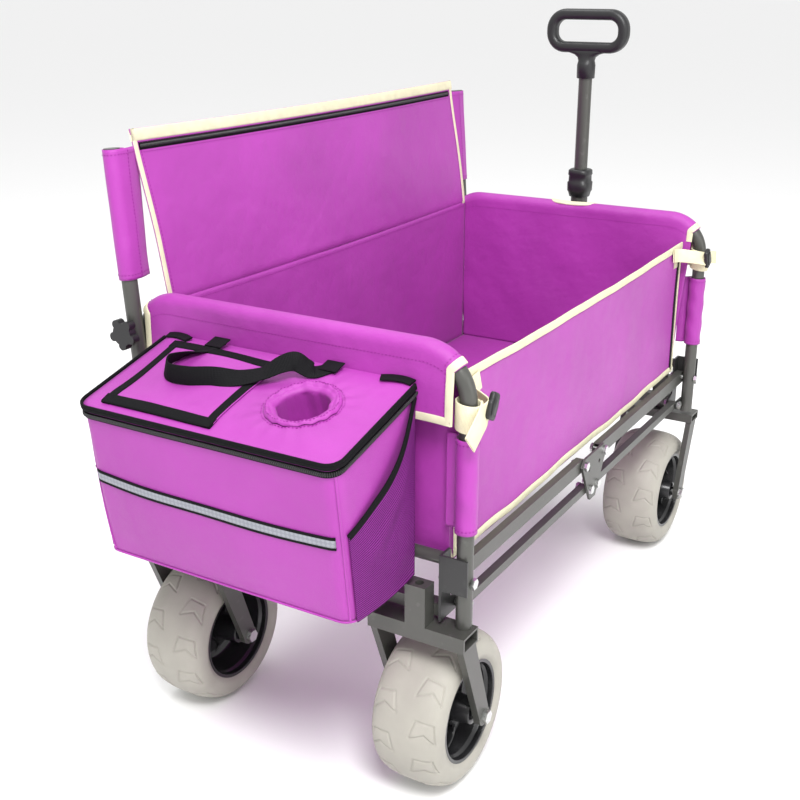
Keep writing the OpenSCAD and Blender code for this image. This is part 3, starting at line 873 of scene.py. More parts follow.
class Units:
    """The small shapes that are repeated."""

    def __init__(self) -> None:
        """Builds each unit once."""
        self.stitch = self.bar("stitch_unit", 0.0026, 0.0007, 0.0006, THREAD)
        self.tooth = self.bar("tooth_unit", 0.0016, 0.0052, 0.0018, PLASTIC)

    @staticmethod
    def bar(name: str, length: float, width: float, height: float, finish: Finish) -> Piece:
        """A short bar with tapered ends, kept out of the scene.

        Args:
            name: the unit's name.
            length: size along X.
            width: size along Y.
            height: size along Z.
            finish: what it is dressed in.

        Returns:
            The unit.
        """
        x = np.array([-0.5, -0.3, 0.3, 0.5]) * length
        grow = np.array([0.45, 1.0, 1.0, 0.45])
        ring = np.array([(-0.5, -0.2), (0.5, -0.2), (0.5, 0.4), (0.25, 1.0), (-0.25, 1.0), (-0.5, 0.4)])
        points = np.array(
            [
                (x[i], ring[j, 0] * width * grow[i], ring[j, 1] * height * grow[i])
                for i in range(4) for j in range(6)
            ]
        )
        faces = [tuple(reversed(f)) for f in grid_faces(4, 6, False, True)] + [
            tuple(range(6)), tuple(range(23, 17, -1))
        ]
        faces = [tuple(reversed(f)) for f in faces]
        return Repeat.hide(new_object(name, points, faces, finish))


@dataclass(frozen=True)
class Places:
    """Where things are, in metres, read from the frame."""

    rear_x: float
    front_x: float
    half_w: float
    tube_r: float
    rail_z: float
    deck_z: float
    bend_r: float = 0.060
    sleeve_r: float = 0.0138

    @classmethod
    def read(cls) -> "Places":
        """Reads the places from the CAD nodes' boxes."""
        rear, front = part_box("rear_end_tube"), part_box("front_end_tube")
        radius = (rear[1].x - rear[0].x) / 2
        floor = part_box("basket_floor")
        return cls(
            rear_x=(rear[0].x + rear[1].x) / 2,
            front_x=(front[0].x + front[1].x) / 2,
            half_w=rear[1].y - radius,
            tube_r=radius,
            rail_z=rear[1].z - radius,
            deck_z=floor[1].z,
        )

    def post_x(self, end: End) -> float:
        """The X of an end frame's uprights."""
        return self.rear_x if end is End.REAR else self.front_x


P = Places.read()
UNITS = Units()
STITCH_STEP = 0.0052
TOOTH_STEP = 0.0026
Paths = Sequence[tuple[Array, Array]]


def stitches(name: str, paths: Paths, step: float = STITCH_STEP) -> Piece:
    """Rows of thread stitches along paths with their normals."""
    return Repeat.make(name, paths, UNITS.stitch, THREAD, step)


def zip_teeth(name: str, paths: Paths) -> Piece:
    """Rows of zip teeth along paths with their normals."""
    return Repeat.make(name, paths, UNITS.tooth, PLASTIC, TOOTH_STEP)


def crumple(piece: Piece) -> None:
    """Gives a piece its own copy of its mesh data."""
    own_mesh(piece)


def settle(
    piece: Piece, body: str, replaces: Sequence[str] = (), crumples: bool = False
) -> Piece:
    """Hands a finished piece to its body.

    Args:
        piece: the finished piece.
        body: the body it rides on.
        replaces: CAD nodes it stands for.
        crumples: whether the piece is given its own copy of its mesh data.

    Returns:
        The piece.
    """
    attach(piece, body)
    if replaces:
        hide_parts(*replaces)
    if crumples:
        crumple(piece)
    LOG.info("%s: %d faces on %s", piece.name, len(piece.data.polygons), body)
    return piece


# ---------------------------------------------------------------- wheels


@dataclass
class Wheel:
    """A balloon tyre with arrow-shaped tread lines on a dished rim.

    Attributes:
        end: the end of the cart.
        side: the side of the cart.
        blocks: tread blocks round one half of the tyre.
        reach: how far the tread goes from the middle, along its surface.
        groove: half width of the lines.
        groove_depth: their depth.
        ribs: ribs on the rim's web.
    """

    end: End
    side: Side
    blocks: int = 12
    reach: float = 0.062
    groove: float = 0.0017
    groove_depth: float = 0.0016
    ribs: int = 6

    def __post_init__(self) -> None:
        """Reads the wheel's size and place from its CAD tyre."""
        low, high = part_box(f"tyre_{self.end.word}_{self.side.word}")
        self.centre = np.array((low + high) / 2)
        self.radius = (high.z - low.z) / 2
        self.half = (high.y - low.y) / 2
        rim_low, rim_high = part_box(f"rim_{self.end.word}_{self.side.word}")
        self.rim_r = (rim_high.z - rim_low.z) / 2
        self.body = f"{self.end.word}_wheel_{self.side.word}"
        self.outward = float(self.side.value)

    def block_lines(self) -> tuple[Array, Array]:
        """The outline of one tread block, along the circumference and across, as shares of a block.

        Returns:
            Start and end points of the outline's straight runs.
        """
        outline = np.array(
            [(0.80, 0.18), (0.34, 0.30), (0.38, 0.72), (0.88, 0.80), (0.64, 0.52), (0.80, 0.18)]
        )
        return outline[:-1], outline[1:]

    def tread(self, around: Array, across: Array) -> Array:
        """Height of the tread above the carcass.

        Args:
            around: angle round the wheel.
            across: distance from the middle of the tread, along its surface, in metres.

        Returns:
            Heights in metres.
        """
        pitch = 2 * math.pi * self.radius / self.blocks
        x = around * self.radius + np.where(across > 0, 0.0, pitch / 2)
        x = np.mod(x, pitch) / pitch
        y = np.abs(across) / self.reach
        start, stop = self.block_lines()
        near = np.full(x.shape, 1.0)
        inside = np.zeros(x.shape, bool)
        for (ax, ay), (bx, by) in zip(start, stop):
            px, py = (x - ax) * pitch, (y - ay) * self.reach
            dx, dy = (bx - ax) * pitch, (by - ay) * self.reach
            t = np.clip((px * dx + py * dy) / (dx * dx + dy * dy), 0, 1)
            near = np.minimum(near, np.hypot(px - t * dx, py - t * dy))
            crosses = (ay > y) != (by > y)
            inside ^= crosses & (x < (bx - ax) * (y - ay) / (by - ay + 1e-12) + ax)
        line = 1 - smooth(near / self.groove)
        centre_line = 1 - smooth(np.abs(np.abs(across) - 0.0015) / 0.0012)
        return np.where(inside, 0.0004, 0.0) * smooth(
            near / 0.002
        ) - self.groove_depth * line - 0.0006 * centre_line

    def tyre(self) -> Piece:
        """Builds the tyre.

        Returns:
            The tyre, a closed ring.
        """
        turns, rows = 520, 132
        lean = np.linspace(0.02, math.pi - 0.02, rows)
        bead = self.rim_r + 0.001
        across = self.half * np.sign(np.cos(lean)) * np.abs(np.cos(lean)) ** 0.72
        height = bead + (self.radius - 0.001 - bead) * np.sin(lean) ** 0.60
        along = np.concatenate([[0], np.cumsum(np.hypot(np.diff(across), np.diff(height)))])
        along -= along[rows // 2]
        normal = unit(np.stack([np.gradient(height), -np.gradient(across)], 1))
        normal *= np.where(normal[:, 1:] < 0, -1, 1)
        angles = np.linspace(0, 2 * math.pi, turns, endpoint=False)
        lift = self.tread(angles[:, None], along[None, :]) * smooth((height[None, :] - bead) / 0.012)
        y = across[None, :] + lift * normal[None, :, 0]
        r = height[None, :] + lift * normal[None, :, 1]
        inner = [(-0.93, bead - 0.004), (-0.8, bead - 0.006), (0.8, bead - 0.006), (0.93, bead - 0.004)]
        y = np.hstack([y, np.tile([s * self.half for s, _ in inner], (turns, 1))])
        r = np.hstack([r, np.tile([q for _, q in inner], (turns, 1))])
        points = self.centre + np.stack([r * np.cos(angles)[:, None], y, r * np.sin(angles)[:, None]], -1)
        faces = grid_faces(turns, y.shape[1], True, True)
        return new_object(f"tyre_{self.end.word}_{self.side.word}_foam", points.reshape(-1, 3), faces, TYRE)

    def rim(self) -> Piece:
        """Builds the rim: barrel, lips, dished web, hub and curved ribs.

        Returns:
            The rim.
        """
        r, h = self.rim_r, self.half
        axis = np.array([0.0, self.outward, 0.0])
        shell = rounded(
            [
                (-h + 0.004, r - 0.008, 0.001), (-h + 0.004, r + 0.0025, 0.002),
                (-h + 0.010, r + 0.0025, 0.002), (-h + 0.014, r - 0.001, 0.001),
                (h - 0.014, r - 0.001, 0.001), (h - 0.010, r + 0.0025, 0.002),
                (h - 0.004, r + 0.0025, 0.002), (h - 0.004, r - 0.008, 0.001),
                (h - 0.012, r - 0.0085, 0.002), (h - 0.016, r - 0.012, 0.003), (0.014, r - 0.016, 0.006),
                (0.008, r - 0.026, 0.004), (0.010, 0.022, 0.002), (h + 0.001, 0.017, 0.002),
                (h + 0.003, 0.0085, 0.001), (-h - 0.003, 0.0085, 0.001), (-h - 0.001, 0.017, 0.002),
                (0.002, 0.022, 0.002), (0.000, r - 0.028, 0.004), (-0.004, r - 0.018, 0.006),
                (-h + 0.016, r - 0.012, 0.003), (-h + 0.012, r - 0.0085, 0.002)
            ],
            3
        )
        barrel = lathe(
            f"rim_{self.end.word}_{self.side.word}_shell", shell[::-1], self.centre, axis, GLOSS, 72
        )
        rib = self.rib(axis)
        ribs = [self.turned(rib, 2 * math.pi / self.ribs * k, k) for k in range(self.ribs)]
        bpy.data.objects.remove(rib)
        return joined(f"rim_{self.end.word}_{self.side.word}_dished", [barrel, *ribs])

    def rib(self, axis: Array) -> Piece:
        """One S-curved rib that stands on the web from hub to barrel, at the origin.

        Args:
            axis: outward along the axle.

        Returns:
            The rib.
        """
        t = np.linspace(0, 1, 17)
        radius = 0.019 + (self.rim_r - 0.033) * t
        angle = 0.55 * np.sin(t * math.pi * 1.1) + 0.25 * t
        height = 0.022 - 0.006 * np.sin(t * math.pi) + 0.006 * t
        path = np.stack(
            [radius * np.cos(angle), 0 * t, radius * np.sin(angle)], 1
        ) + height[:, None] * 0.5 * axis
        return swept("rib_unit", path, np.tile(axis, (len(t), 1)), 0.026, 0.0042, GLOSS)

    def turned(self, rib: Piece, angle: float, number: int) -> Piece:
        """A copy of a rib turned round the axle.

        Args:
            rib: the rib at the origin.
            angle: how far it is turned.
            number: its number, for its name.

        Returns:
            The copy, in place.
        """
        points = np.array([v.co for v in rib.data.vertices])
        c, s = math.cos(angle), math.sin(angle)
        turned = np.stack(
            [c * points[:, 0] + s * points[:, 2], points[:, 1], c * points[:, 2] - s * points[:, 0]], 1
        )
        copy = rib.copy()
        copy.data = rib.data.copy()
        copy.data.vertices.foreach_set("co", (turned + self.centre).ravel())
        copy.name = f"rib_{self.body}_{number}"
        bpy.context.scene.collection.objects.link(copy)
        return copy

    def build(self) -> None:
        """Builds the wheel and hands it to its body."""
        name = f"{self.end.word}_{self.side.word}"
        settle(self.tyre(), self.body, [f"tyre_{name}"])
        settle(self.rim(), self.body, [f"rim_{name}"])


# ---------------------------------------------------------------- basket


@dataclass
class EndPanel:
    """The fabric of one end: up the inside, over the top rail and down the outside as a flap.

    Attributes:
        end: the end of the cart.
        flap_z: height of the flap's lower hem.
        notch: half width of the opening for the pull handle, or 0.
        foot_half: half width at the floor.
        turn: how far round the corner bends the cloth reaches, in radians.
        hem: width of the cream binding.
    """

    end: End
    flap_z: float
    notch: float = 0.0
    foot_half: float = 0.2255
    turn: float = 0.86
    hem: float = 0.011

    def __post_init__(self) -> None:
        """Works out the lengths of the cloth's three stretches."""
        self.ring = P.sleeve_r - 0.0004
        self.straight = P.half_w - P.bend_r
        self.half = self.straight + P.bend_r * self.turn
        self.inside = P.rail_z - P.deck_z
        self.over = math.pi * self.ring
        self.outside = P.rail_z - self.flap_z
        self.slack = Folds(11 if self.end is End.REAR else 12, 0.10, 0.45)

    def rail(self, s: Array) -> tuple[Array, Array, Array]:
        """The rail's axis and bend angle.

        Args:
            s: distance along the rail from its middle.

        Returns:
            The axis' Y and Z, and the angle that the bend has turned.
        """
        turned = np.clip((np.abs(s) - self.straight) / P.bend_r, 0, None)
        y = np.sign(s) * (np.minimum(np.abs(s), self.straight) + P.bend_r * np.sin(turned))
        return y, P.rail_z - P.bend_r * (1 - np.cos(turned)), np.sign(s) * turned

    def shape(self, a: Array, b: Array) -> Array:
        """The hanging shape: a across the cart from the −Y edge, b up the inside, over and down.

        Args:
            a: flat distance across.
            b: flat distance from the floor edge.

        Returns:
            Points in the row frame.
        """
        s = a - self.half
        y, z, turned = self.rail(s)
        up = np.clip(b / self.inside, 0, 1)
        round_it = np.clip((b - self.inside) / self.over, 0, 1) * math.pi
        down = np.clip((b - self.inside - self.over) / self.outside, 0, None)
        wave = self.slack.at(a, b)
        foot_y = s / self.half * self.foot_half
        inner_u = self.ring + 0.0035 * wave * np.sin(up * math.pi)
        u = np.where(b < self.inside, inner_u, self.ring * np.cos(round_it))
        lift = self.ring * np.sin(round_it)
        rise = np.where(b < self.inside, P.deck_z + (z - P.deck_z) * up, z + lift * np.cos(turned))
        across = np.where(
            b < self.inside, foot_y + (y - foot_y) * smooth(up * 1.1 - 0.1), y + lift * np.sin(turned)
        )
        hang = z - down * (z - self.flap_z)
        u = np.where(down > 0, -self.ring - 0.0045 * smooth(down) * (0.6 + wave), u)
        rise = np.where(down > 0, hang, rise)
        sag = 0.004 * np.sin(
            np.clip((self.straight - np.abs(s)) / self.straight, 0, 1) * math.pi * 0.5
        ) * down
        rise = rise - np.where(down > 0, sag, 0)
        x = P.post_x(self.end) + self.end.value * u
        return spots_at(x, across, rise)

    def build(self) -> None:
        """Builds the panel, its bindings and its seams."""
        name = f"{self.end.word}_end"
        tall = self.inside + self.over + self.outside
        cloth = Cloth(f"{name}_cloth", 2 * self.half, tall, self.shape, (108, 96))
        sheet = cloth.make(PURPLE)
        if self.notch:
            self.cut_notch(sheet)
        wide = cloth.width
        edge = self.hem / 2
        tapes = [
            cloth.tape("hem_a", (edge, self.inside * 0.93), (edge, tall), self.hem, CREAM, steps=70),
            cloth.tape(
                "hem_b", (wide - edge, self.inside * 0.93), (wide - edge, tall), self.hem, CREAM, steps=70
            ),
            cloth.tape(
                "hem_c", (0.001, tall - edge), (wide - 0.001, tall - edge), self.hem, CREAM, steps=90
            )
        ]
        if self.notch:
            tapes.append(self.notch_piping())
        trim = joined(f"{name}_binding", tapes)
        low = self.inside + self.over + 0.012
        paths = [
            cloth.seam((0.014, low), (wide - 0.014, low), 0.001),
            cloth.seam((0.014, self.inside - 0.012), (wide - 0.014, self.inside - 0.012), -0.001),
            cloth.seam((0.014, self.inside * 0.9), (0.014, tall - 0.014), 0.001),
            cloth.seam((wide - 0.014, self.inside * 0.9), (wide - 0.014, tall - 0.014), 0.001)
        ]
        seams = stitches(f"{name}_stitches", paths)
        settle(sheet, self.end.body, [f"{name}_panel"])
        settle(trim, self.end.body)
        settle(seams, self.end.body)

    def cut_notch(self, sheet: Piece) -> None:
        """Takes the flap away round the pull handle.

        Args:
            sheet: the panel's mesh object.
        """
        mesh = bmesh.new()
        mesh.from_mesh(sheet.data)
        x0 = P.post_x(self.end)
        gone = []
        for face in mesh.faces:
            middle = face.calc_center_median()
            depth = self.notch_depth(middle.y)
            outer = (middle.x - x0) * self.end.value < 0.004
            if outer and abs(middle.y) < self.notch and depth > 0:
                gone.append(face)
        bmesh.ops.delete(mesh, geom=gone, context="FACES")
        mesh.to_mesh(sheet.data)
        mesh.free()

    def notch_depth(self, y: float) -> float:
        """How open the notch is at Y, 1 in its middle and 0 at its edge."""
        return max(0.0, 1 - (abs(y) / self.notch) ** 2)

    def notch_piping(self) -> Piece:
        """Cream piping round the notch's edge, in one loop over the rail."""
        x0 = P.post_x(self.end)
        half = self.notch + 0.002
        r = self.ring + 0.0005
        points = [
            (-r, -half, self.flap_z + 0.004), (-r, -half, P.rail_z - 0.03), (-r, -half, P.rail_z),
            (-r * 0.5, -half * 0.96, P.rail_z + r * 0.86), (0.0055, -half * 0.7, P.rail_z + r * 0.9),
            (0.0075, 0, P.rail_z + r * 0.82), (0.0055, half * 0.7, P.rail_z + r * 0.9),
            (-r * 0.5, half * 0.96, P.rail_z + r * 0.86), (-r, half, P.rail_z), (-r, half, P.rail_z - 0.03),
            (-r, half, self.flap_z + 0.004)
        ]
        path = curved([(x0 + self.end.value * u, y, z) for u, y, z in points], 8)
        out = unit(
            path - np.array([x0, 0, P.rail_z - 0.004]) * np.array([1, 0, 1]) - path * np.array([0, 1, 0])
        )
        ahead = unit(np.gradient(path, axis=0))
        return swept("hem_e", path, np.cross(out, ahead), self.hem, 0.0034, CREAM)


@dataclass
class Sleeve:
    """A fabric sleeve round an upright with its flap sewn to the end panel.

    Attributes:
        end: the end of the cart.
        side: the side of the cart.
        low: height of its lower edge.
        high: height of its upper edge.
    """

    end: End
    side: Side
    low: float = 0.404
    high: float = 0.531

    def outline(self) -> Array:
        """The sleeve's plan, as u and y from the upright: from the flap, round the post and back."""
        r = P.sleeve_r
        turn = np.linspace(math.radians(62), math.radians(360 - 30), 40)
        face = 1.0 if self.end is End.REAR else -1.0
        ring = np.stack([face * r * np.cos(turn), r * np.sin(turn)], 1)
        flap = curved([(0.0035, 0.0308), (0.0030 + 0.0015 * face, 0.021), tuple(ring[0])], 6)[:-1]
        return np.vstack([flap, ring])

    def shape(self, a: Array, b: Array) -> Array:
        """The sleeve's hanging shape.

        Args:
            a: flat distance along the plan.
            b: flat distance up.

        Returns:
            Points in the row frame.
        """
        plan = self.outline()
        run = run_of(plan)
        u = np.interp(a, run, plan[:, 0])
        v = np.interp(a, run, plan[:, 1])
        ripple = 0.0005 * np.sin(b * 160 + a * 70) * smooth(a / 0.03)
        y = self.side.value * (P.half_w - v - ripple)
        x = P.post_x(self.end) + self.end.value * (u + ripple)
        return spots_at(x, y, self.low + b)

    def build(self) -> Piece:
        """Builds the sleeve.

        Returns:
            The sleeve's sheet.
        """
        plan = self.outline()
        wide = float(np.linalg.norm(np.diff(plan, axis=0), axis=1).sum())
        name = f"{self.end.word}_sleeve_{self.side.word}"
        cloth = Cloth(name, wide, self.high - self.low, self.shape, (60, 36))
        sheet = cloth.make(PURPLE)
        paths = [
            cloth.seam((0.012, b), (wide - 0.002, b), lift) for b in (0.006, cloth.height - 0.006)
            for lift in (0.001, -0.001)
        ]
        paths += [
            cloth.seam((0.019, 0.004), (0.019, cloth.height - 0.004), lift) for lift in (0.001, -0.001)
        ]
        seams = stitches(f"{name}_stitches", paths, 0.0048)
        settle(sheet, self.end.body, [f"{self.end.word}_post_sleeves"])
        settle(seams, self.end.body)
        return sheet


@dataclass
class SidePanel:
    """A long side of the basket.

    Attributes:
        name: the piece's name.
        node: the CAD node it stands for.
        body: the body it rides on.
        outward: the sign of Y of its outer face.
        bound: whether it has cream bindings and zips, as the drop side has.
    """

    name: str
    node: str
    body: str
    outward: float
    bound: bool

    def __post_init__(self) -> None:
        """Reads its place from its CAD node."""
        self.low, self.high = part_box(self.node)
        self.y = (self.low.y + self.high.y) / 2
        self.wide = self.high.x - self.low.x
        self.tall = self.high.z - self.low.z
        self.slack = Folds(21 if self.bound else 22, 0.12, 0.5)

    def shape(self, a: Array, b: Array) -> Array:
        """The hanging shape: a along the cart, b up.

        Args:
            a: flat distance from the rear edge.
            b: flat distance from the lower edge.

        Returns:
            Points in the row frame.
        """
        middle = np.clip(np.sin(a / self.wide * math.pi), 0, 1) ** 0.5 * np.clip(
            np.sin(b / self.tall * math.pi * 0.85 + 0.25), 0, 1
        )
        out = 0.0035 * self.slack.at(a, b) * middle
        edge = 0.0014 * np.sin(a * 17 + 1.0) + 0.0008 * np.sin(a * 51 + 2.0)
        top = b / self.tall
        z = self.low.z + b + edge * (1.2 - 0.8 * top) * (1 if self.bound else 0.2) - 0.005 * np.sin(
            a / self.wide * math.pi
        ) * top
        y = self.y + self.outward * (out - 0.0005)
        return spots_at(self.low.x + a, y, z)

    def build(self) -> None:
        """Builds the panel with its bindings, zips and seams."""
        cloth = Cloth(self.name, self.wide, self.tall, self.shape, (150, 48))
        sheet = cloth.make(PURPLE)
        pieces = []
        w, h, e = self.wide, self.tall, 0.0055
        if self.bound:
            tapes = [
                cloth.tape("a", (0, h - e), (w, h - e), 0.0125, CREAM, steps=150),
                cloth.tape("b", (0, e), (w, e), 0.0125, CREAM, steps=150),
                cloth.tape("c", (e, 0), (e, h), 0.009, CREAM),
                cloth.tape("d", (w - e, 0), (w - e, h), 0.009, CREAM),
                cloth.tape("e", (0.002, h - 0.032), (0.048, h - 0.032), 0.045, CREAM, 0.0026, 12),
                cloth.tape("f", (w - 0.040, h - 0.026), (w - 0.002, h - 0.026), 0.034, CREAM, 0.0026, 12)
            ]
            pieces.append((joined(f"{self.name}_binding", tapes), "webbing_cream"))
            zips = [
                cloth.tape("g", (a, 0.006), (a, h - 0.012), 0.011, BLACK_TAPE, 0.0030)
                for a in (0.0155, w - 0.0155)
            ]
            pieces.append((joined(f"{self.name}_zip_tape", zips), "webbing_black"))
            teeth = [
                cloth.seam((a, 0.008), (a, h - 0.014), lift) for a in (0.0155, w - 0.0155)
                for lift in (0.0016, -0.0016)
            ]
            pieces.append((zip_teeth(f"{self.name}_zip_teeth", teeth), "plastic_black"))
        lines = [((0.02, b), (w - 0.02, b)) for b in (0.0125, h - 0.0125)] if self.bound else [
            ((0.01, b), (w - 0.01, b)) for b in (0.008, h - 0.008)
        ]
        if self.bound:
            lines += [((a, 0.014), (a, h - 0.014)) for a in (0.0235, w - 0.0235)]
        paths = [cloth.seam(s, t, lift, 120) for s, t in lines for lift in (0.001, -0.001)]
        pieces.append((stitches(f"{self.name}_stitches", paths), "fabric_purple"))
        settle(sheet, self.body, [self.node], crumples=True)
        for piece, slot in pieces:
            settle(piece, self.body, crumples=True)


@dataclass
class Floor:
    """The basket's floor, creased where it folds."""

    creases: int = 4
    tuck: float = 0.005

    def __post_init__(self) -> None:
        """Reads its place from its CAD node."""
        self.low, self.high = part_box("basket_floor")
        self.low.x -= self.tuck
        self.high.x += self.tuck
        self.wide = self.high.x - self.low.x
        self.deep = self.high.y - self.low.y
        self.slack = Folds(31, 0.1, 0.4)

    def shape(self, a: Array, b: Array) -> Array:
        """The floor's shape: a along the cart, b across it."""
        pitch = self.wide / self.creases
        near = np.abs(np.mod(a + pitch / 2, pitch) - pitch / 2)
        ridge = 0.0035 * np.exp(-((near / 0.007) ** 2)) * (
            np.clip(a / 0.05, 0, 1) * np.clip((self.wide - a) / 0.05, 0, 1)
        )
        z = (self.low.z + self.high.z) / 2 + ridge + 0.0016 * self.slack.at(a, b)
        return spots_at(self.low.x + a, self.low.y + b, z)

    def build(self) -> None:
        """Builds the floor and its fold seams."""
        cloth = Cloth("basket_floor_cloth", self.wide, self.deep, self.shape, (170, 60))
        sheet = cloth.make(PURPLE, 0.0024)
        paths = []
        for k in range(1, self.creases):
            for side in (-0.011, 0.011):
                a = self.wide * k / self.creases + side
                paths.append(cloth.seam((a, 0.01), (a, self.deep - 0.01), 0.0014))
        seams = stitches("basket_floor_stitches", paths)
        settle(sheet, "rear_frame", ["basket_floor"], crumples=True)
        settle(seams, "rear_frame", crumples=True)


@dataclass
class CornerStrap:
    """Cream webbing round a near-side upright, with a loose tail and a buckle.

    Attributes:
        end: the end of the cart.
        middle_z: height of the webbing's middle.
        width: its width.
    """

    end: End
    middle_z: float
    width: float = 0.036

    def loop(self) -> Piece:
        """The turn of webbing round the upright."""
        turn = np.linspace(0, 2 * math.pi, 49)
        r = P.sleeve_r + 0.0016
        x = P.post_x(self.end) + r * np.cos(turn)
        y = -P.half_w + r * np.sin(turn)
        path = np.stack([x, y, self.middle_z + 0.0025 * np.sin(turn)], 1)
        return swept("strap_loop", path, np.tile(UP, (49, 1)), self.width, 0.0022, STRAP_CREAM)

    def tail(self, points: Sequence[Sequence[float]], width: float, name: str) -> Piece:
        """A loose length of webbing through the points, its width near upright.

        Args:
            points: inboard distance, Y and Z from the strap's middle at the upright.
            width: the webbing's width.
            name: the piece's name.

        Returns:
            The webbing.
        """
        x0 = P.post_x(self.end)
        path = curved(
            [(x0 + self.end.value * u, -P.half_w + y, self.middle_z + z) for u, y, z in points], 8
        )
        ahead = unit(np.gradient(path, axis=0))
        side = np.array([0.0, -1.0, 0.12])
        return swept(name, path, unit(np.cross(ahead, side)), width, 0.0022, STRAP_CREAM)

    def build(self) -> None:
        """Builds the strap and its buckle."""
        if self.end is End.REAR:
            tail = self.tail(
                [
                    (0.014, -0.0150, 0.006), (0.001, -0.0190, 0.0), (-0.014, -0.0195, -0.010),
                    (-0.032, -0.0190, -0.024)
                ],
                0.030, "strap_tail"
            )
        else:
            tail = self.tail(
                [
                    (0.010, -0.0165, 0.002), (-0.006, -0.0185, 0.004), (-0.026, -0.0180, 0.001),
                    (-0.046, -0.0170, -0.004)
                ],
                0.023, "strap_tail"
            )
        sewn = P.half_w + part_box("drop_side_panel")[0].y - 0.003
        inner = self.tail(
            [
                (-0.004, -0.0165, 0.0), (0.010, -0.0175, 0.003), (0.026, -0.0160, 0.008),
                (0.050, sewn - 0.004, 0.014), (0.078, sewn, 0.018)
            ],
            0.024, "strap_inner"
        )
        strap = joined(f"{self.end.word}_corner_webbing", [self.loop(), tail, inner])
        settle(strap, self.end.body, [f"{self.end.word}_corner_strap"])
        settle(self.buckle(), self.end.body, [f"{self.end.word}_corner_buckle"])

    def buckle(self) -> Piece:
        """A side-release buckle: a body and a smaller raised plate on its face, both from one outline."""
        x0 = P.post_x(self.end)
        u0, y0, z0 = 0.022, -0.0205, self.middle_z + 0.008
        parts = []
        outline = [
            (-0.019, -0.0105, 0.003), (0.004, -0.0125, 0.004), (0.008, -0.0105, 0.003),
            (0.021, -0.0100, 0.004), (0.021, 0.0100, 0.004), (0.008, 0.0105, 0.003), (0.004, 0.0125, 0.004),
            (-0.019, 0.0105, 0.003)
        ]
        shell = np.array(rounded(outline, 4))
        lean = math.radians(62)
        turned = np.stack(
            [
                shell[:, 0] * math.cos(lean) - shell[:, 1] * math.sin(lean),
                shell[:, 0] * math.sin(lean) + shell[:, 1] * math.cos(lean)
            ],
            1
        )
        for k, (scale, low, high) in enumerate(((0.86, -0.0030, 0.0038), (0.6, 0.0036, 0.0050))):
            spots = [
                (x0 + self.end.value * (u0 + u * scale), -P.half_w + y0, z0 + v * scale) for u, v in turned
            ]
            parts.append(prism(f"buckle_{k}", spots, np.array([0, -1.0, 0]), low, high, PLASTIC))
        return joined(f"{self.end.word}_corner_clip", parts)


def prism(
    name: str, outline: Sequence[Sequence[float]], way: Array, low: float, high: float, finish: Finish,
    round_off: float = 0.0012
) -> Piece:
    """A solid between two copies of an outline, with softened edges.

    Args:
        name: the piece's name.
        outline: the outline's points in the row frame.
        way: the direction it is thick in.
        low: where it starts along that direction.
        high: where it ends.
        finish: what it is dressed in.
        round_off: how far its edges are softened.

    Returns:
        The new object.
    """
    base = np.array(outline, float)
    middle = base.mean(0)
    reach = np.linalg.norm(base - middle, axis=1).mean()
    rings = []
    for level, inset in (
        (low, round_off), (low + round_off, 0.0), (high - round_off, 0.0), (high, round_off)
    ):
        rings.append(middle + (base - middle) * (1 - inset / reach) + way * level)
    points = np.vstack(rings)
    made = new_object(name, points, capped(4, len(base)), finish, points[:, [0, 2]])
    tidy_normals(made)
    return made


def tidy_normals(made: Piece) -> None:
    """Merges doubles and turns every face of a closed piece outwards."""
    mesh = bmesh.new()
    mesh.from_mesh(made.data)
    bmesh.ops.remove_doubles(mesh, verts=mesh.verts, dist=1e-6)
    bmesh.ops.recalc_face_normals(mesh, faces=mesh.faces)
    mesh.to_mesh(made.data)
    mesh.free()


# ---------------------------------------------------------------- backrest


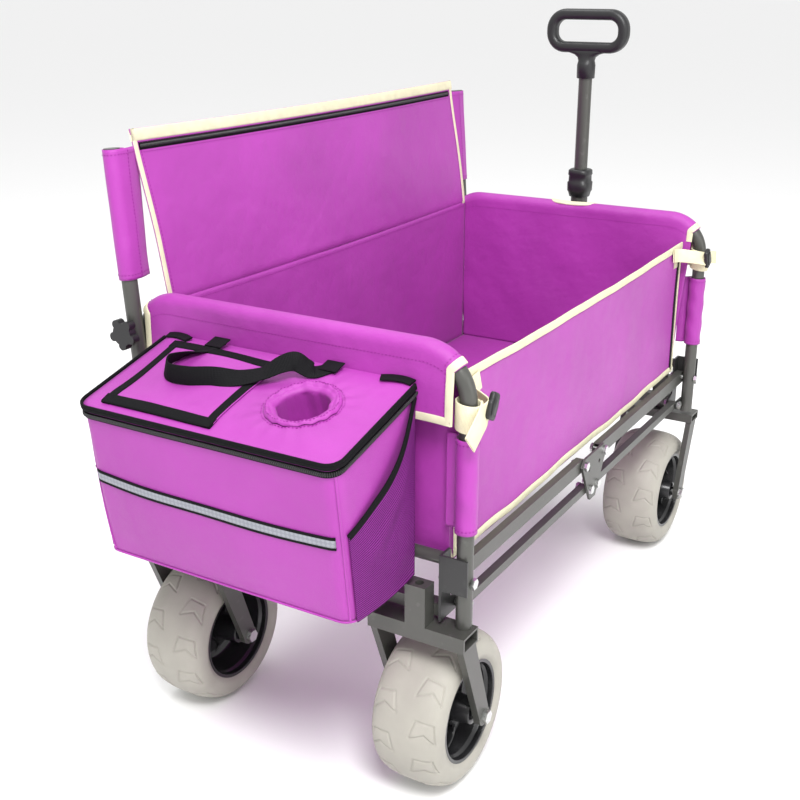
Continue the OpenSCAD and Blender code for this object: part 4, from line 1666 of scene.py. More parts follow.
@dataclass
class Backrest:
    """The tilting backrest: a panel between two sleeves on the poles."""

    zip_drop: float = 0.0238

    def __post_init__(self) -> None:
        """Reads its place from its CAD node."""
        low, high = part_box("backrest_panel")
        self.bottom = (low.z, low.y + 0.002)
        self.top = (high.z, high.y - 0.002)
        self.middle = (low.x + high.x) / 2
        self.top_half = (high.x - low.x) / 2
        self.low_half = self.top_half - 0.008
        self.skirt = 0.034
        self.tall = self.skirt + math.hypot(self.top[0] - self.bottom[0], self.top[1] - self.bottom[1])
        self.slack = Folds(41, 0.14, 0.6)

    def shape(self, a: Array, b: Array) -> Array:
        """The panel's shape: a along the cart, b up the lean.

        Args:
            a: flat distance from the rear edge.
            b: flat distance from the lower edge.

        Returns:
            Points in the row frame.
        """
        rise = (b - self.skirt) / (self.tall - self.skirt)
        hang = np.clip(-rise, 0, None) * (self.tall - self.skirt)
        rise = np.clip(rise, 0, 1)
        half = self.low_half + (self.top_half - self.low_half) * rise
        along = a / (2 * self.top_half) * 2 - 1
        x = self.middle + along * half
        bulge = np.sin(rise * math.pi)
        belly = np.clip(1 - along**2, 0, 1) * bulge
        lean = (self.top[1] - self.bottom[1] + 0.0022) * rise
        y = self.bottom[1] - 0.0022 + 0.0075 * smooth(hang / 0.012) + lean - 0.0035 * belly
        y = y + 0.0030 * self.slack.at(a, b) * bulge
        sag = 0.0035 * (1 - along**2) * rise
        z = self.bottom[0] + (self.top[0] - self.bottom[0]) * rise - sag - hang
        return spots_at(x, y, z)

    def build(self) -> None:
        """Builds the panel, its bindings, its zip and the pole sleeves."""
        w, h = 2 * self.top_half, self.tall
        cloth = Cloth("backrest_cloth", w, h, self.shape, (140, 44))
        sheet = cloth.make(PURPLE, 0.0018)
        tapes = [
            cloth.tape("a", (0.0, h - 0.0085), (w, h - 0.0085), 0.017, CREAM, 0.0042, 120),
            cloth.tape("b", (0.0045, 0), (0.0045, h), 0.009, CREAM),
            cloth.tape("c", (w - 0.0045, 0), (w - 0.0045, h), 0.009, CREAM)
        ]
        trim = joined("backrest_binding", tapes)
        zip_b = h - self.zip_drop
        tape = cloth.tape(
            "backrest_zip_tape", (0.010, zip_b), (w - 0.016, zip_b), 0.0115, BLACK_TAPE, 0.0040, 120
        )
        teeth = zip_teeth(
            "backrest_zip_teeth",
            [cloth.seam((0.012, zip_b), (w - 0.018, zip_b), lift) for lift in (0.0022, -0.0022)]
        )
        lines = [
            ((0.012, h - 0.0195), (w - 0.012, h - 0.0195)),
            ((0.012, zip_b - 0.0085), (w - 0.012, zip_b - 0.0085)), ((0.0125, 0.006), (0.0125, h - 0.02)),
            ((w - 0.0125, 0.006), (w - 0.0125, h - 0.02))
        ]
        seams = stitches(
            "backrest_stitches",
            [cloth.seam(s, t, lift, 120) for s, t in lines for lift in (0.0013, -0.0013)]
        )
        settle(sheet, "backrest", ["backrest_panel"], crumples=True)
        for piece, slot in (
            (trim, "webbing_cream"), (tape, "webbing_black"), (teeth, "plastic_black"),
            (seams, "fabric_purple")
        ):
            settle(piece, "backrest", crumples=True)
        for end in End:
            self.lug(end)

    def lug(self, end: End) -> None:
        """The sleeve sewn to the panel that holds a pole.

        Args:
            end: which pole.
        """
        low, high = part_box(f"{end.word}_pole_lug")
        pole_low, pole_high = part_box(f"{end.word}_pole")
        lean = math.radians(4)
        r = P.tube_r
        foot = np.array([(pole_low.x + pole_high.x) / 2, pole_low.y + r, pole_low.z])
        way = np.array([0, math.sin(lean), math.cos(lean)])
        start = foot + way * ((low.z - pole_low.z) / math.cos(lean))
        tall = (high.z - low.z) / math.cos(lean)
        ring = r + 0.0016
        turn = np.linspace(math.radians(-62), math.radians(270), 40)
        plan = np.stack([ring * np.cos(turn), ring * np.sin(turn)], 1)
        flap = curved([tuple(plan[-1]), (0.014, -ring + 0.0008), (0.036, -ring + 0.0085)], 6)[1:]
        plan = np.vstack([plan, flap])
        run = run_of(plan)
        side = np.array([0, math.cos(lean), -math.sin(lean)])
        slack = Folds(51 + end.value, 0.05, 0.2)

        def shape(a: Array, b: Array) -> Array:
            """The sleeve round the pole, with its flap towards the panel."""
            u, v = np.interp(a, run, plan[:, 0]), np.interp(a, run, plan[:, 1])
            grow = 1 + 0.06 * slack.at(a, b)
            flare = 0.004 * (b / tall) ** 2
            along = np.stack(
                np.broadcast_arrays(end.value * (u * grow + flare * (u > 0)), 0 * u, 0 * u), -1
            )
            return start + along + (v * grow)[..., None] * side + b[..., None] * way

        cloth = Cloth(f"{end.word}_pole_sleeve", float(run[-1]), tall, shape, (56, 40))
        sheet = cloth.make(PURPLE)
        paths = [
            cloth.seam((0.004, b), (run[-1] - 0.004, b), lift) for b in (0.007, tall - 0.007)
            for lift in (0.001, -0.001)
        ]
        paths += [
            cloth.seam((run[-1] - 0.026, 0.004), (run[-1] - 0.026, tall - 0.004), lift)
            for lift in (0.001, -0.001)
        ]
        seams = stitches(f"{end.word}_pole_sleeve_stitches", paths, 0.0048)
        body = "backrest" if end is End.REAR else "front_pole"
        settle(sheet, body, [f"{end.word}_pole_lug"])
        settle(seams, body)


# ---------------------------------------------------------------- cooler bag


@dataclass
class CoolerBag:
    """The insulated bag on the rear end: body, lid, pockets, cup opening and carry handle.

    Attributes:
        slope_drop: the lid's drop from back to front.
        foot_depth: depth at the bottom.
        wall: thickness of the padded wall.
        cup: the cup opening's centre, from the hinge and across, and its radius.
        around: points round one level of the wall.
        net_tall: flat height of a side net.
    """

    slope_drop: float = 0.046
    foot_depth: float = 0.152
    wall: float = 0.005
    cup: tuple[float, float, float] = (0.098, -0.093, 0.037)
    around: int = 208
    net_tall: float = 0.215

    def __post_init__(self) -> None:
        """Reads the bag's place from its CAD nodes and the lid's joint."""
        low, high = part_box("bag_body")
        self.back_x, self.low_z, self.high_z = high.x, low.z, high.z
        self.depth = high.x - low.x
        self.half = (high.y - low.y) / 2
        joint = next(j for j in frame["record"]["behaviour"]["joints"] if j["name"] == "lid")
        self.hinge = np.array(joint["pos_m"])
        tilt = math.atan(self.slope_drop / self.depth)
        self.out = np.array([-math.cos(tilt), 0, -math.sin(tilt)])
        self.normal = np.array([-math.sin(tilt), 0, math.cos(tilt)])
        lid_low, lid_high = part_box("bag_lid")
        self.lid_half = (lid_high.y - lid_low.y) / 2
        self.lid_long = self.depth / math.cos(tilt) + 0.0015
        self.lid_thick = 0.007
        self.slack = Folds(61, 0.07, 0.26)

    def outline(self, half: float, depth: float, front_r: float, back_r: float) -> Array:
        """Even points round a rounded rectangle of (outboard, across), from the back's middle.

        Args:
            half: half width across.
            depth: its depth.
            front_r: radius of the two front corners.
            back_r: radius of the two back corners.

        Returns:
            The points, anticlockwise seen from above with outboard to the left.
        """
        corners = [
            (0.0, half, back_r), (depth, half, front_r), (depth, -half, front_r), (0.0, -half, back_r)
        ]
        loop = np.array(rounded(corners, 8))
        loop = np.vstack([loop, loop[:1]])
        run = run_of(loop)
        t = np.linspace(0, run[-1], self.around, endpoint=False)
        return np.stack([np.interp(t, run, loop[:, 0]), np.interp(t, run, loop[:, 1])], 1)

    def wall_points(self, rise: float, inset: float = 0.0, front_r: float = 0.017) -> Array:
        """One level of the bag's wall, in the row frame.

        Args:
            rise: 0 at the bottom to 1 under the lid.
            inset: how far it is set in.
            front_r: radius of the vertical front corners.

        Returns:
            The level's points.
        """
        depth = self.foot_depth + (self.depth - self.foot_depth) * rise
        loop = self.outline(
            self.half - inset, depth - 2 * inset, max(front_r - inset, 0.004), 0.008
        ) + np.array([inset, 0])
        v, y = loop[:, 0], loop[:, 1]
        ahead = unit(np.roll(loop, -1, 0) - np.roll(loop, 1, 0))
        n = np.stack([ahead[:, 1], -ahead[:, 0]], 1)
        n *= np.sign((n * (loop - loop.mean(0))).sum(1, keepdims=True))
        face = np.abs(n[:, 0]) * np.clip(np.cos(math.pi / 2 * y / self.half), 0, 1) ** 0.7 * (v > depth / 2)
        face += np.abs(n[:, 1]) * np.clip(np.sin(math.pi * v / depth), 0, 1) * 0.6
        belly = 0.0075 * math.sin(math.pi * min(rise, 1) ** 0.8) * (1 if inset < 0.003 else 0.5)
        ripple = 0.0022 * self.slack.at(v + y, np.full(v.shape, rise * 0.2)) * math.sin(math.pi * rise)
        loop = loop + n * (face * belly + face * ripple)[:, None]
        top = self.high_z - loop[:, 0] * self.slope_drop / self.depth
        z = self.low_z + (top - self.low_z) * rise
        return np.stack([self.back_x - loop[:, 0], loop[:, 1], z], 1)

    def body(self) -> Piece:
        """Builds the bag's shell, open at the top, with its padded inner wall."""
        levels = [self.wall_points(r) for r in (0.03, 0.07, *np.linspace(0.12, 0.94, 30), 0.975, 1.0)]
        bottom = []
        middle = np.array([self.back_x - self.foot_depth / 2, 0, self.low_z])
        base = self.wall_points(0.0)
        for scale, sink in (
            (0.15, -0.0035), (0.4, -0.003), (0.7, -0.0022), (0.9, -0.001), (0.965, 0.0), (0.99, 0.0022)
        ):
            ring = middle + (base - middle) * np.array([scale, scale, 0]) + UP * sink
            bottom.append(ring)
        inner = [self.wall_points(r, self.wall) for r in (1.0, *np.linspace(0.95, 0.08, 14), 0.035)]
        floor = []
        deep = self.wall_points(0.03, self.wall)
        for scale in (0.9, 0.5, 0.15):
            floor.append(middle + (deep - middle) * np.array([scale, scale, 0]) + UP * (self.wall + 0.001))
        rows = bottom + levels + inner + floor
        n = self.around
        points = np.vstack(rows)
        run = np.linspace(0, 2 * (2 * self.half + self.depth), n)
        tall = np.concatenate(
            [[0], np.cumsum([float(np.linalg.norm(b[0] - a[0])) for a, b in zip(rows, rows[1:])])]
        )
        uv = np.stack(np.broadcast_arrays(run[None, :], tall[:, None]), -1).reshape(-1, 2)
        made = new_object("bag_shell", points, capped(len(rows), n), PURPLE_STIFF, uv)
        tidy_normals(made)
        return made

    def level(self, rise: float, proud: float) -> tuple[Array, Array]:
        """The three open sides of one level, pushed out, with the directions out.

        Args:
            rise: the level.
            proud: how far it is pushed out.

        Returns:
            The points from one back corner round the front to the other, and the outward directions.
        """
        ring = self.wall_points(rise)
        ahead = unit(np.roll(ring, -1, 0) - np.roll(ring, 1, 0))
        out = unit(np.cross(ahead, UP))
        out *= np.sign((out * (ring - ring.mean(0))).sum(1, keepdims=True))
        keep = ring[:, 0] < self.back_x - 0.004
        order = np.nonzero(keep)[0]
        gap = np.nonzero(np.diff(order) > 1)[0]
        if len(gap):
            order = np.roll(order, -(gap[0] + 1))
        return (ring + out * proud)[order], out[order]

    def piping(self) -> Piece:
        """Raised seams down the front corners and along the bottom edge."""
        parts = []
        rises = np.linspace(0.02, 0.97, 24)
        rings = [self.wall_points(float(r)) for r in rises]
        for sign in (1, -1):
            corner = np.argmin(rings[12][:, 0] - sign * rings[12][:, 1])
            path = np.array([ring[corner] for ring in rings])
            out = unit(np.array([-1.0, sign, 0]))
            ahead = unit(np.gradient(path, axis=0))
            parts.append(
                swept("pipe", path + out * 0.0004, np.cross(ahead, out), 0.0030, 0.0026, PURPLE_STIFF)
            )
        path, _ = self.level(0.012, 0.0002)
        parts.append(swept("pipe", path, np.tile(UP, (len(path), 1)), 0.0030, 0.0026, PURPLE_STIFF))
        return joined("bag_piping", parts)

    def zip(self) -> tuple[Piece, Piece]:
        """The zip under the lid on three sides: its tape and its teeth."""
        path, _ = self.level(0.972, 0.0008)
        tape = swept("bag_zip_tape", path, np.tile(UP, (len(path), 1)), 0.0080, 0.0030, BLACK_TAPE)
        path, out = self.level(0.976, 0.0026)
        return tape, zip_teeth("bag_zip_teeth", [(path, out)])

    def strip(self) -> None:
        """Builds the reflective strip and its black edges on the front face."""
        rows = [self.front_line(z, 0.0008) for z in (0.1060, 0.1175, 0.1290)]
        middle = rows[1]
        way = unit(rows[2] - rows[0])
        band = swept("bag_strip", middle, way, 0.0110, 0.0014, SILVER)
        settle(band, "rear_frame", ["bag_reflective_strip"])
        edges = [
            swept("edge", middle + way * s, way, 0.0040, 0.0019, BLACK_TAPE) for s in (-0.0068, 0.0068)
        ]
        settle(joined("bag_strip_edges", edges), "rear_frame")

    def front_line(self, height: float, proud: float) -> Array:
        """A line across the bag's front at a height above its bottom, sagging a little."""
        ring_y = np.linspace(self.half - 0.009, -self.half + 0.009, 90)
        tall = self.high_z - self.slope_drop - self.low_z
        out = []
        for y in ring_y:
            sag = 0.003 * (1 - (y / self.half) ** 2) + 0.004 * (1 - y / self.half) / 2
            ring = self.wall_points((height - sag) / tall)
            front = ring[ring[:, 0] < self.back_x - self.foot_depth * 0.6]
            order = np.argsort(front[:, 1])
            x = np.interp(y, front[order, 1], front[order, 0])
            out.append((x - proud, y, self.low_z + height - sag))
        return np.array(out)

    def on_lid(self, x: Array | float, y: Array | float, n: Array | float) -> Array:
        """Points on the lid: x outwards from the hinge, y across, n above its top face."""
        x, y, n = np.broadcast_arrays(np.asarray(x, float), np.asarray(y, float), np.asarray(n, float))
        return self.hinge + x[..., None] * self.out + y[..., None] * np.array(
            [0, 1.0, 0]
        ) + n[..., None] * self.normal

    def crown(self, x: Array, y: Array) -> Array:
        """How far the lid's padded top stands above its edge."""
        edge = np.minimum(np.minimum(x, self.lid_long - x), self.lid_half - np.abs(y))
        cup_edge = np.hypot(x - self.cup[0], y - self.cup[1]) - self.cup[2]
        soft = smooth(np.clip(edge, 0, None) / 0.040) * 0.0045
        wave = 0.0018 * self.slack.at(x * 1.3, y * 1.3) * smooth(edge / 0.03)
        pucker = 0.0008 * np.sin(np.arctan2(y - self.cup[1], x - self.cup[0]) * 17) * np.exp(
            -np.clip(cup_edge - 0.012, 0, None) / 0.018
        ) * smooth(edge / 0.02)
        return soft + wave + pucker

    def lid(self) -> Piece:
        """Builds the padded lid with the hole for the cup."""
        edge = self.outline(self.lid_half, self.lid_long, 0.019, 0.009)
        centre = np.array(self.cup[:2])
        angle = np.arctan2(edge[:, 1] - centre[1], edge[:, 0] - centre[0])
        hole = centre + self.cup[2] * np.stack([np.cos(angle), np.sin(angle)], 1)
        rows = []
        for t in np.linspace(0, 1, 34):
            q = hole + (edge - hole) * t
            rows.append(self.on_lid(q[:, 0], q[:, 1], self.crown(q[:, 0], q[:, 1]) - 0.0015 * (t > 0.995)))
        outward = unit(edge - edge.mean(0))
        rows.append(self.on_lid(*(edge + outward * 0.0008).T, -0.0030))
        rows.append(self.on_lid(*edge.T, -self.lid_thick + 0.001))
        for t in (0.985, 0.6, 0.2, 0.0):
            q = hole + (edge - hole) * t
            rows.append(self.on_lid(q[:, 0], q[:, 1], -self.lid_thick))
        n = self.around
        points = np.vstack(rows)
        local = points - self.hinge
        uv = np.stack([local @ self.out, points[:, 1]], 1)
        made = new_object("lid_cover", points, grid_faces(len(rows), n, True, True), PURPLE_STIFF, uv)
        tidy_normals(made)
        return made

    def lid_edge(self) -> Piece:
        """The black binding round the lid's three open sides, with a tab at each back corner."""
        edge = self.outline(self.lid_half + 0.0012, self.lid_long + 0.0012, 0.0195, 0.009)
        keep = np.nonzero(edge[:, 0] > 0.006)[0]
        gap = np.nonzero(np.diff(keep) > 1)[0]
        if len(gap):
            keep = np.roll(keep, -(gap[0] + 1))
        path = self.on_lid(*edge[keep].T, -0.0032)
        parts = [swept("bind", path, np.tile(self.normal, (len(path), 1)), 0.0070, 0.0042, BLACK_TAPE)]
        cord = self.on_lid(*edge[keep].T, 0.0008)
        parts.append(swept("bind", cord, np.tile(self.normal, (len(path), 1)), 0.0036, 0.0040, BLACK_TAPE))
        for sign in (1, -1):
            points = [
                (0.008, sign * (self.lid_half - 0.002), 0.0020),
                (0.007, sign * (self.lid_half - 0.014), 0.0035),
                (0.009, sign * (self.lid_half - 0.030), 0.0045),
                (0.014, sign * (self.lid_half - 0.044), 0.0050)
            ]
            tab = curved([tuple(self.on_lid(*q)) for q in points], 6)
            parts.append(swept("bind", tab, np.tile(self.out, (len(tab), 1)), 0.013, 0.0026, BLACK_WEB))
        return joined("lid_binding", parts)

    def pocket(self) -> None:
        """Builds the lid's flat pocket with its black frame and seams."""
        low, high = np.array([0.026, -0.010]), np.array([0.174, 0.163])
        size = high - low

        def shape(a: Array, b: Array) -> Array:
            """The pocket's top, a little slack inside its frame."""
            inner = np.clip(np.sin(a / size[0] * math.pi), 0, 1) * np.clip(
                np.sin(b / size[1] * math.pi), 0, 1
            )
            x, y = low[0] + a, low[1] + b
            return self.on_lid(
                x, y, self.crown(x, y) + 0.0016 + 0.0022 * inner * (0.5 + self.slack.at(a * 2, b * 2))
            )

        cloth = Cloth("lid_pocket_cloth", float(size[0]), float(size[1]), shape, (48, 54))
        sheet = cloth.make(PURPLE)
        w, h, e = cloth.width, cloth.height, 0.0072
        tapes = [
            cloth.tape("t", (-0.001, e), (w + 0.001, e), 0.0130, BLACK_TAPE, 0.0040, 30),
            cloth.tape("t", (-0.001, h - e), (w + 0.001, h - e), 0.0130, BLACK_TAPE, 0.0040, 30),
            cloth.tape("t", (e, 0.0), (e, h), 0.0165, BLACK_TAPE, 0.0042, 30),
            cloth.tape("t", (w - e, 0.0), (w - e, h), 0.0165, BLACK_TAPE, 0.0042, 30)
        ]
        frame_tape = joined("lid_pocket_binding", tapes)
        i = 0.019
        runs = [
            ((i, i), (w - i, i)), ((i, h - i), (w - i, h - i)), ((i, i), (i, h - i)),
            ((w - i, i), (w - i, h - i))
        ]
        seams = stitches("lid_pocket_stitches", [cloth.seam(s, t, 0.0010) for s, t in runs], 0.0046)
        settle(sheet, "bag_lid", ["lid_pocket"])
        settle(frame_tape, "bag_lid")
        settle(seams, "bag_lid")

    def carry_handle(self) -> Piece:
        """The webbing handle that lies twisted over the lid, with its sewn ends."""
        points = [
            (0.010, 0.100, 0.0080), (0.034, 0.106, 0.0085), (0.062, 0.117, 0.0150), (0.090, 0.120, 0.0200),
            (0.108, 0.104, 0.0190), (0.105, 0.074, 0.0170), (0.095, 0.045, 0.0160), (0.084, 0.015, 0.0130),
            (0.068, -0.012, 0.0150), (0.053, -0.034, 0.0240), (0.043, -0.048, 0.0250),
            (0.037, -0.058, 0.0150), (0.033, -0.067, 0.0080), (0.022, -0.075, 0.0060),
            (0.010, -0.080, 0.0050)
        ]
        turn = np.radians([0, 8, 38, 66, 74, 70, 58, 22, 8, 30, 52, 30, 8, 0, 0])
        steps = 10
        path = self.on_lid(*curved(points, steps).T)
        twist = np.interp(np.linspace(0, 1, len(path)), np.linspace(0, 1, len(turn)), turn)
        ahead = unit(np.gradient(path, axis=0))
        flat = unit(np.cross(self.normal, ahead))
        up = np.cross(ahead, flat)
        across = flat * np.cos(twist)[:, None] + up * np.sin(twist)[:, None]
        parts = [swept("web", path, across, 0.025, 0.0020, BLACK_WEB)]
        for y, n in ((0.100, 0.0080), (-0.080, 0.0055)):
            spots = self.on_lid(np.linspace(0.003, 0.026, 6), y, n + 0.0016)
            parts.append(
                swept("web", spots, np.tile(np.array([0, 1.0, 0]), (6, 1)), 0.0265, 0.0022, BLACK_WEB)
            )
        return joined("carry_webbing", parts)

    def cup_cloth(self) -> Piece:
        """The gathered cup: a puckered ring on the lid and a soft tube below it."""
        profile = curved(
            [
                (0.0475, 0.0010), (0.0460, 0.0034), (0.0430, 0.0048), (0.0395, 0.0044), (0.0362, 0.0052),
                (0.0332, 0.0026), (0.0335, -0.006), (0.0340, -0.022), (0.0325, -0.042), (0.0300, -0.0530),
                (0.022, -0.0555), (0.008, -0.056), (0.002, -0.056)
            ],
            4
        )
        turns = 168
        angle = np.linspace(0, 2 * math.pi, turns, endpoint=False)
        draw = np.random.default_rng(71)
        gather = sum(
            w * np.sin(k * angle + p) for k, w,
            p in zip((5, 9, 13, 19), (0.6, 0.55, 0.3, 0.15), draw.uniform(0, 6.28, 4))
        )
        r, n = profile[:, :1], profile[:, 1:]
        near_rim = np.exp(-(((r - 0.038) / 0.008) ** 2)) + 0.45 * (n < 0) * np.exp(n / 0.030)
        r = r + 0.0013 * gather * near_rim
        n = n + 0.0007 * np.roll(gather, 5) * np.exp(-(((r - 0.042) / 0.008) ** 2))
        x, y = self.cup[0] + r * np.cos(angle), self.cup[1] + r * np.sin(angle)
        base = np.where(r > 0.033, self.crown(x, y) * smooth((r - 0.033) / 0.012), 0)
        points = self.on_lid(x, y, n + base)
        rows = len(profile)
        faces = [tuple(f) for f in grid_faces(rows, turns, False, True)] + [
            tuple(range((rows - 1) * turns, rows * turns))
        ]
        uv = np.stack(
            np.broadcast_arrays(angle[None, :] * 0.045, profile[:, 1:] - profile[:, :1]), -1
        ).reshape(-1, 2)
        made = new_object("cup_gather", points.reshape(-1, 3), faces, PURPLE_STIFF, uv)
        return solidify(made, 0.0011)

    def cup_seam(self) -> Piece:
        """The round of stitches that holds the cup's fabric to the lid."""
        angle = np.linspace(0, 2 * math.pi, 121)
        paths = []
        for r in (0.0445, 0.0505):
            x, y = self.cup[0] + r * np.cos(angle), self.cup[1] + r * np.sin(angle)
            lift = self.crown(x, y) + (0.0054 if r < 0.05 else 0.0004)
            paths.append((self.on_lid(x, y, lift), np.tile(self.normal, (len(angle), 1))))
        return stitches("cup_stitches", paths, 0.0046)

    def net(self, side: Side) -> None:
        """A mesh pocket on one side of the bag, with its bound upper edge.

        Args:
            side: the side of the bag.
        """
        deep = self.depth - 0.012
        rise_at = curved(
            [(0.0, 0.56, 0), (0.25, 0.63, 0), (0.5, 0.71, 0), (0.75, 0.82, 0), (1.0, 0.97, 0)], 8
        )
        slack = Folds(81 + side.value, 0.05, 0.2)

        def shape(a: Array, b: Array) -> Array:
            """The net from the front corner (a = 0) to the back, b up."""
            share = a / deep
            top = np.interp(share, rise_at[:, 0], rise_at[:, 1])
            rise = np.clip(b / self.net_tall, 0, 1) * top + 0.01
            depth = self.foot_depth + (self.depth - self.foot_depth) * rise
            v = depth - 0.010 - share * (depth - 0.018)
            z = self.low_z + (self.high_z - v * self.slope_drop / self.depth - self.low_z) * rise
            belly = np.sin(np.clip(share, 0, 1) * math.pi) * np.sin(
                np.clip(b / self.net_tall, 0, 1) * math.pi * 0.72
            )
            out = 0.0085 * belly * (1 + 0.35 * slack.at(a, b)) + 0.0015 + 0.005 * np.sin(
                math.pi * v / depth
            )
            return np.stack(np.broadcast_arrays(self.back_x - v, side.value * (self.half + out), z), -1)

        cloth = Cloth(f"bag_net_{side.word}", deep, self.net_tall, shape, (64, 54))
        sheet = cloth.make(NET, 0.0009)
        hem = joined(
            f"bag_net_binding_{side.word}",
            [
                cloth.tape(
                    "h", (0.0, self.net_tall - 0.0035), (deep, self.net_tall - 0.0035), 0.0090, BLACK_TAPE,
                    0.0034, 60
                )
            ]
        )
        settle(sheet, "rear_frame", ["bag_mesh_pockets"])
        settle(hem, "rear_frame")

    def build(self) -> None:
        """Builds every piece of the bag."""
        settle(self.body(), "rear_frame", ["bag_body"])
        settle(self.piping(), "rear_frame")
        tape, teeth = self.zip()
        settle(tape, "rear_frame")
        settle(teeth, "rear_frame")
        self.strip()
        cover = settle(self.lid(), "bag_lid", ["bag_lid"])
        settle(self.lid_edge(), "bag_lid")
        self.pocket()
        settle(self.carry_handle(), "bag_lid", ["carry_handle"])
        settle(self.cup_cloth(), "bag_lid", ["cup_liner"])
        settle(self.cup_seam(), "bag_lid")
        for side in Side:
            self.net(side)


# ---------------------------------------------------------------- pull handle


@dataclass
class PullHandle:
    """The moulded loop grip and the clamp collar of the pull handle.

    Attributes:
        bar: height of the loop's bar section.
        thick: thickness of the bar front to back.
    """

    bar: float = 0.0195
    thick: float = 0.025

    def __post_init__(self) -> None:
        """Reads the grip's place from its CAD node."""
        self.low, self.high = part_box("handle_grip")
        self.x = (self.low.x + self.high.x) / 2
        self.neck_z = self.low.z + 0.028
        self.half = (self.high.y - self.low.y) / 2

    def stack(
        self, name: str, levels: Sequence[tuple[float, float, float, float]], finish: Finish
    ) -> Piece:
        """Stacks superellipse sections (z, half x, half y, squareness) on the handle's axis."""
        turns = 56
        angle = np.linspace(0, 2 * math.pi, turns, endpoint=False)
        rows = []
        for z, hx, hy, power in levels:
            c, s = np.cos(angle), np.sin(angle)
            rows.append(
                np.stack([
                    self.x + hx * np.sign(c) * np.abs(c) ** (2 / power),
                    hy * np.sign(s) * np.abs(s) ** (2 / power),
                    np.full(turns, z),
                ], 1)
            )
        points = np.vstack(rows)
        made = new_object(name, points, capped(len(rows), turns), finish)
        tidy_normals(made)
        return made

    def loop(self) -> Piece:
        """The closed loop of the grip."""
        r = self.bar / 2
        top, low = self.high.z - r, self.high.z - 0.080 + r + 0.002
        w = self.half - r
        corners = [(-w, low, 0.026), (w, low, 0.026), (w, top, 0.027), (-w, top, 0.027)]
        line = np.array(rounded(corners, 12))
        line = np.vstack([line, line[:1]])
        run = run_of(line)
        t = np.linspace(0, run[-1], 130, endpoint=False)
        y, z = np.interp(t, run, line[:, 0]), np.interp(t, run, line[:, 1])
        path = np.stack([np.full(y.shape, self.x), y, z], 1)
        ahead = unit(np.roll(path, -1, 0) - np.roll(path, 1, 0))
        out = np.cross(ahead, np.array([1.0, 0, 0]))
        section = np.array(
            rounded([
                (-self.thick / 2, -r, 0.0085), (self.thick / 2, -r, 0.0085),
                (self.thick / 2, r, 0.0085), (-self.thick / 2, r, 0.0085),
            ], 6)
        )
        points = path[:, None] + section[None, :, :1] * np.array([1.0, 0, 0]) + section[
            None, :, 1:
        ] * out[:, None]
        made = new_object(
            "grip_loop", points.reshape(-1, 3), grid_faces(len(path), len(section), True, True), PLASTIC
        )
        tidy_normals(made)
        return made

    def build(self) -> None:
        """Builds the grip and the collar."""
        n = self.neck_z
        levels = [
            (n - 0.028, 0.0150, 0.0150, 2), (n - 0.0272, 0.0168, 0.0168, 2), (n - 0.004, 0.0172, 0.0172, 2),
            (n, 0.0160, 0.0160, 2.2), (n + 0.004, 0.0135, 0.0150, 2.4), (n + 0.010, 0.0122, 0.0170, 2.6),
            (n + 0.015, 0.0120, 0.0240, 2.8), (n + 0.0185, 0.0119, 0.0360, 3),
            (n + 0.0215, 0.0112, 0.0480, 3), (n + 0.0240, 0.009, 0.0540, 3)
        ]
        grip = joined("grip_moulding", [self.stack("grip_neck", levels, PLASTIC), self.loop()])
        settle(grip, "handle_inner", ["handle_grip"])
        low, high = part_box("handle_collar")
        a, b = low.z, high.z
        levels = [
            (a, 0.0165, 0.0165, 2), (a + 0.001, 0.0188, 0.0188, 2.4), (a + 0.010, 0.0205, 0.0205, 3),
            (a + 0.012, 0.0216, 0.0216, 3.4), (a + 0.028, 0.0218, 0.0218, 3.6),
            (a + 0.030, 0.0202, 0.0202, 3.2), (b - 0.012, 0.0200, 0.0200, 3.2),
            (b - 0.010, 0.0212, 0.0212, 3.4), (b - 0.002, 0.0208, 0.0208, 3.2), (b, 0.0185, 0.0185, 2.6)
        ]
        settle(self.stack("collar_moulding", levels, PLASTIC), "handle", ["handle_collar"])


# ---------------------------------------------------------------- frame, studio, main


def dress_frame() -> None:
    """Gives every CAD node that stays its finish."""
    for row in frame["record"]["subparts"]:
        node = bpy.data.objects.get(row["node"])
        if node is None or node.hide_render:
            continue
        material = SLOT_FINISH[row["material_slot"]].material()
        for slot_row in node.material_slots:
            slot_row.material = material
        LOG.info("%s: dressed in %s", row["node"], material.name)


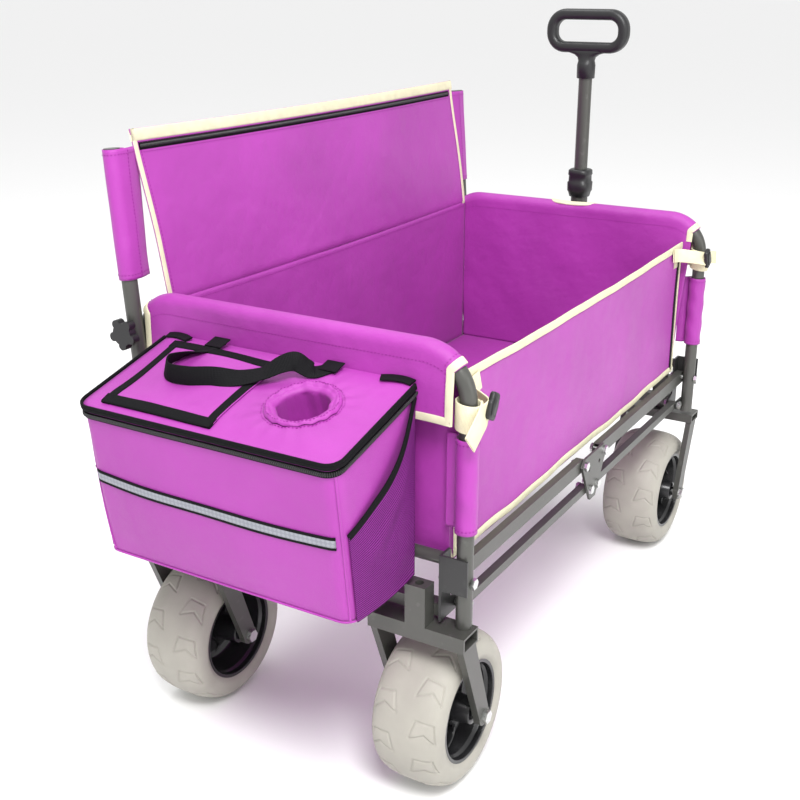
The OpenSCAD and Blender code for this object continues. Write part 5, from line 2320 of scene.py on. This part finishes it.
@dataclass
class Studio:
    """The floor, the lights and the camera."""

    eye: tuple[float, float, float] = (-1.54405, -0.84463, 1.05383)
    yaw: float = 30.8
    pitch: float = -20.22
    lens: float = 51.6

    def build(self) -> None:
        """Sets up the studio."""
        scene = bpy.context.scene
        scene.view_settings.view_transform = "Standard"
        scene.view_settings.look = "None"
        world = bpy.data.worlds.new("studio")
        world.use_nodes = True
        world.node_tree.nodes["Background"].inputs["Color"].default_value = (1.0, 1.0, 1.0, 1.0)
        world.node_tree.nodes["Background"].inputs["Strength"].default_value = 0.94
        scene.world = world
        self.floor()
        self.lamp("key", (-1.9, -1.4, 3.2), 1.3, 135.0)
        self.lamp("fill", (-0.4, -3.4, 1.4), 2.0, 22.0)
        self.lamp("top", (0.3, 0.9, 3.4), 1.2, 30.0)
        self.camera()

    def floor(self) -> None:
        """A plain pale floor."""
        reach = 60.0
        floor = new_object(
            "studio_floor",
            np.array([(-reach, -reach, 0), (reach, -reach, 0), (reach, reach, 0), (-reach, reach, 0)]),
            [(0, 1, 2, 3)], Finish("studio_white", "", (0.93, 0.93, 0.93), 0.9)
        )

    def lamp(self, name: str, place: Sequence[float], size: float, power: float) -> None:
        """Adds a soft area light that looks at the cart.

        Args:
            name: the light's name.
            place: where it is.
            size: its side.
            power: its power in watts.
        """
        light = bpy.data.lights.new(name, "AREA")
        light.size, light.energy = size, power
        made = bpy.data.objects.new(name, light)
        made.location = place
        made.rotation_euler = (Vector((0, 0, 0.4)) - Vector(place)).to_track_quat("-Z", "Y").to_euler()
        bpy.context.scene.collection.objects.link(made)

    def camera(self) -> None:
        """Makes the camera."""
        lens = bpy.data.cameras.new("camera")
        lens.lens, lens.sensor_width = self.lens, 36.0
        made = bpy.data.objects.new("camera", lens)
        made.location = self.eye
        yaw, pitch = math.radians(self.yaw), math.radians(self.pitch)
        look = Vector((math.cos(pitch) * math.cos(yaw), math.cos(pitch) * math.sin(yaw), math.sin(pitch)))
        made.rotation_euler = look.to_track_quat("-Z", "Y").to_euler()
        bpy.context.scene.collection.objects.link(made)
        bpy.context.scene.camera = made


def main() -> None:
    """Builds every part of the cart in turn."""
    logging.basicConfig(level=logging.INFO, format="%(name)s %(message)s")
    Studio().build()
    for end in End:
        for side in Side:
            Wheel(end, side).build()
            Sleeve(end, side).build()
    EndPanel(End.REAR, flap_z=0.548).build()
    EndPanel(End.FRONT, flap_z=0.548, notch=0.042).build()
    SidePanel("far_side_cloth", "far_side_panel", "rear_frame", 1.0, False).build()
    SidePanel("drop_side_cloth", "drop_side_panel", "drop_side", -1.0, True).build()
    Floor().build()
    CornerStrap(End.REAR, 0.560).build()
    CornerStrap(End.FRONT, 0.566).build()
    Backrest().build()
    CoolerBag().build()
    PullHandle().build()
    dress_frame()


if __name__ == "__main__":
    main()
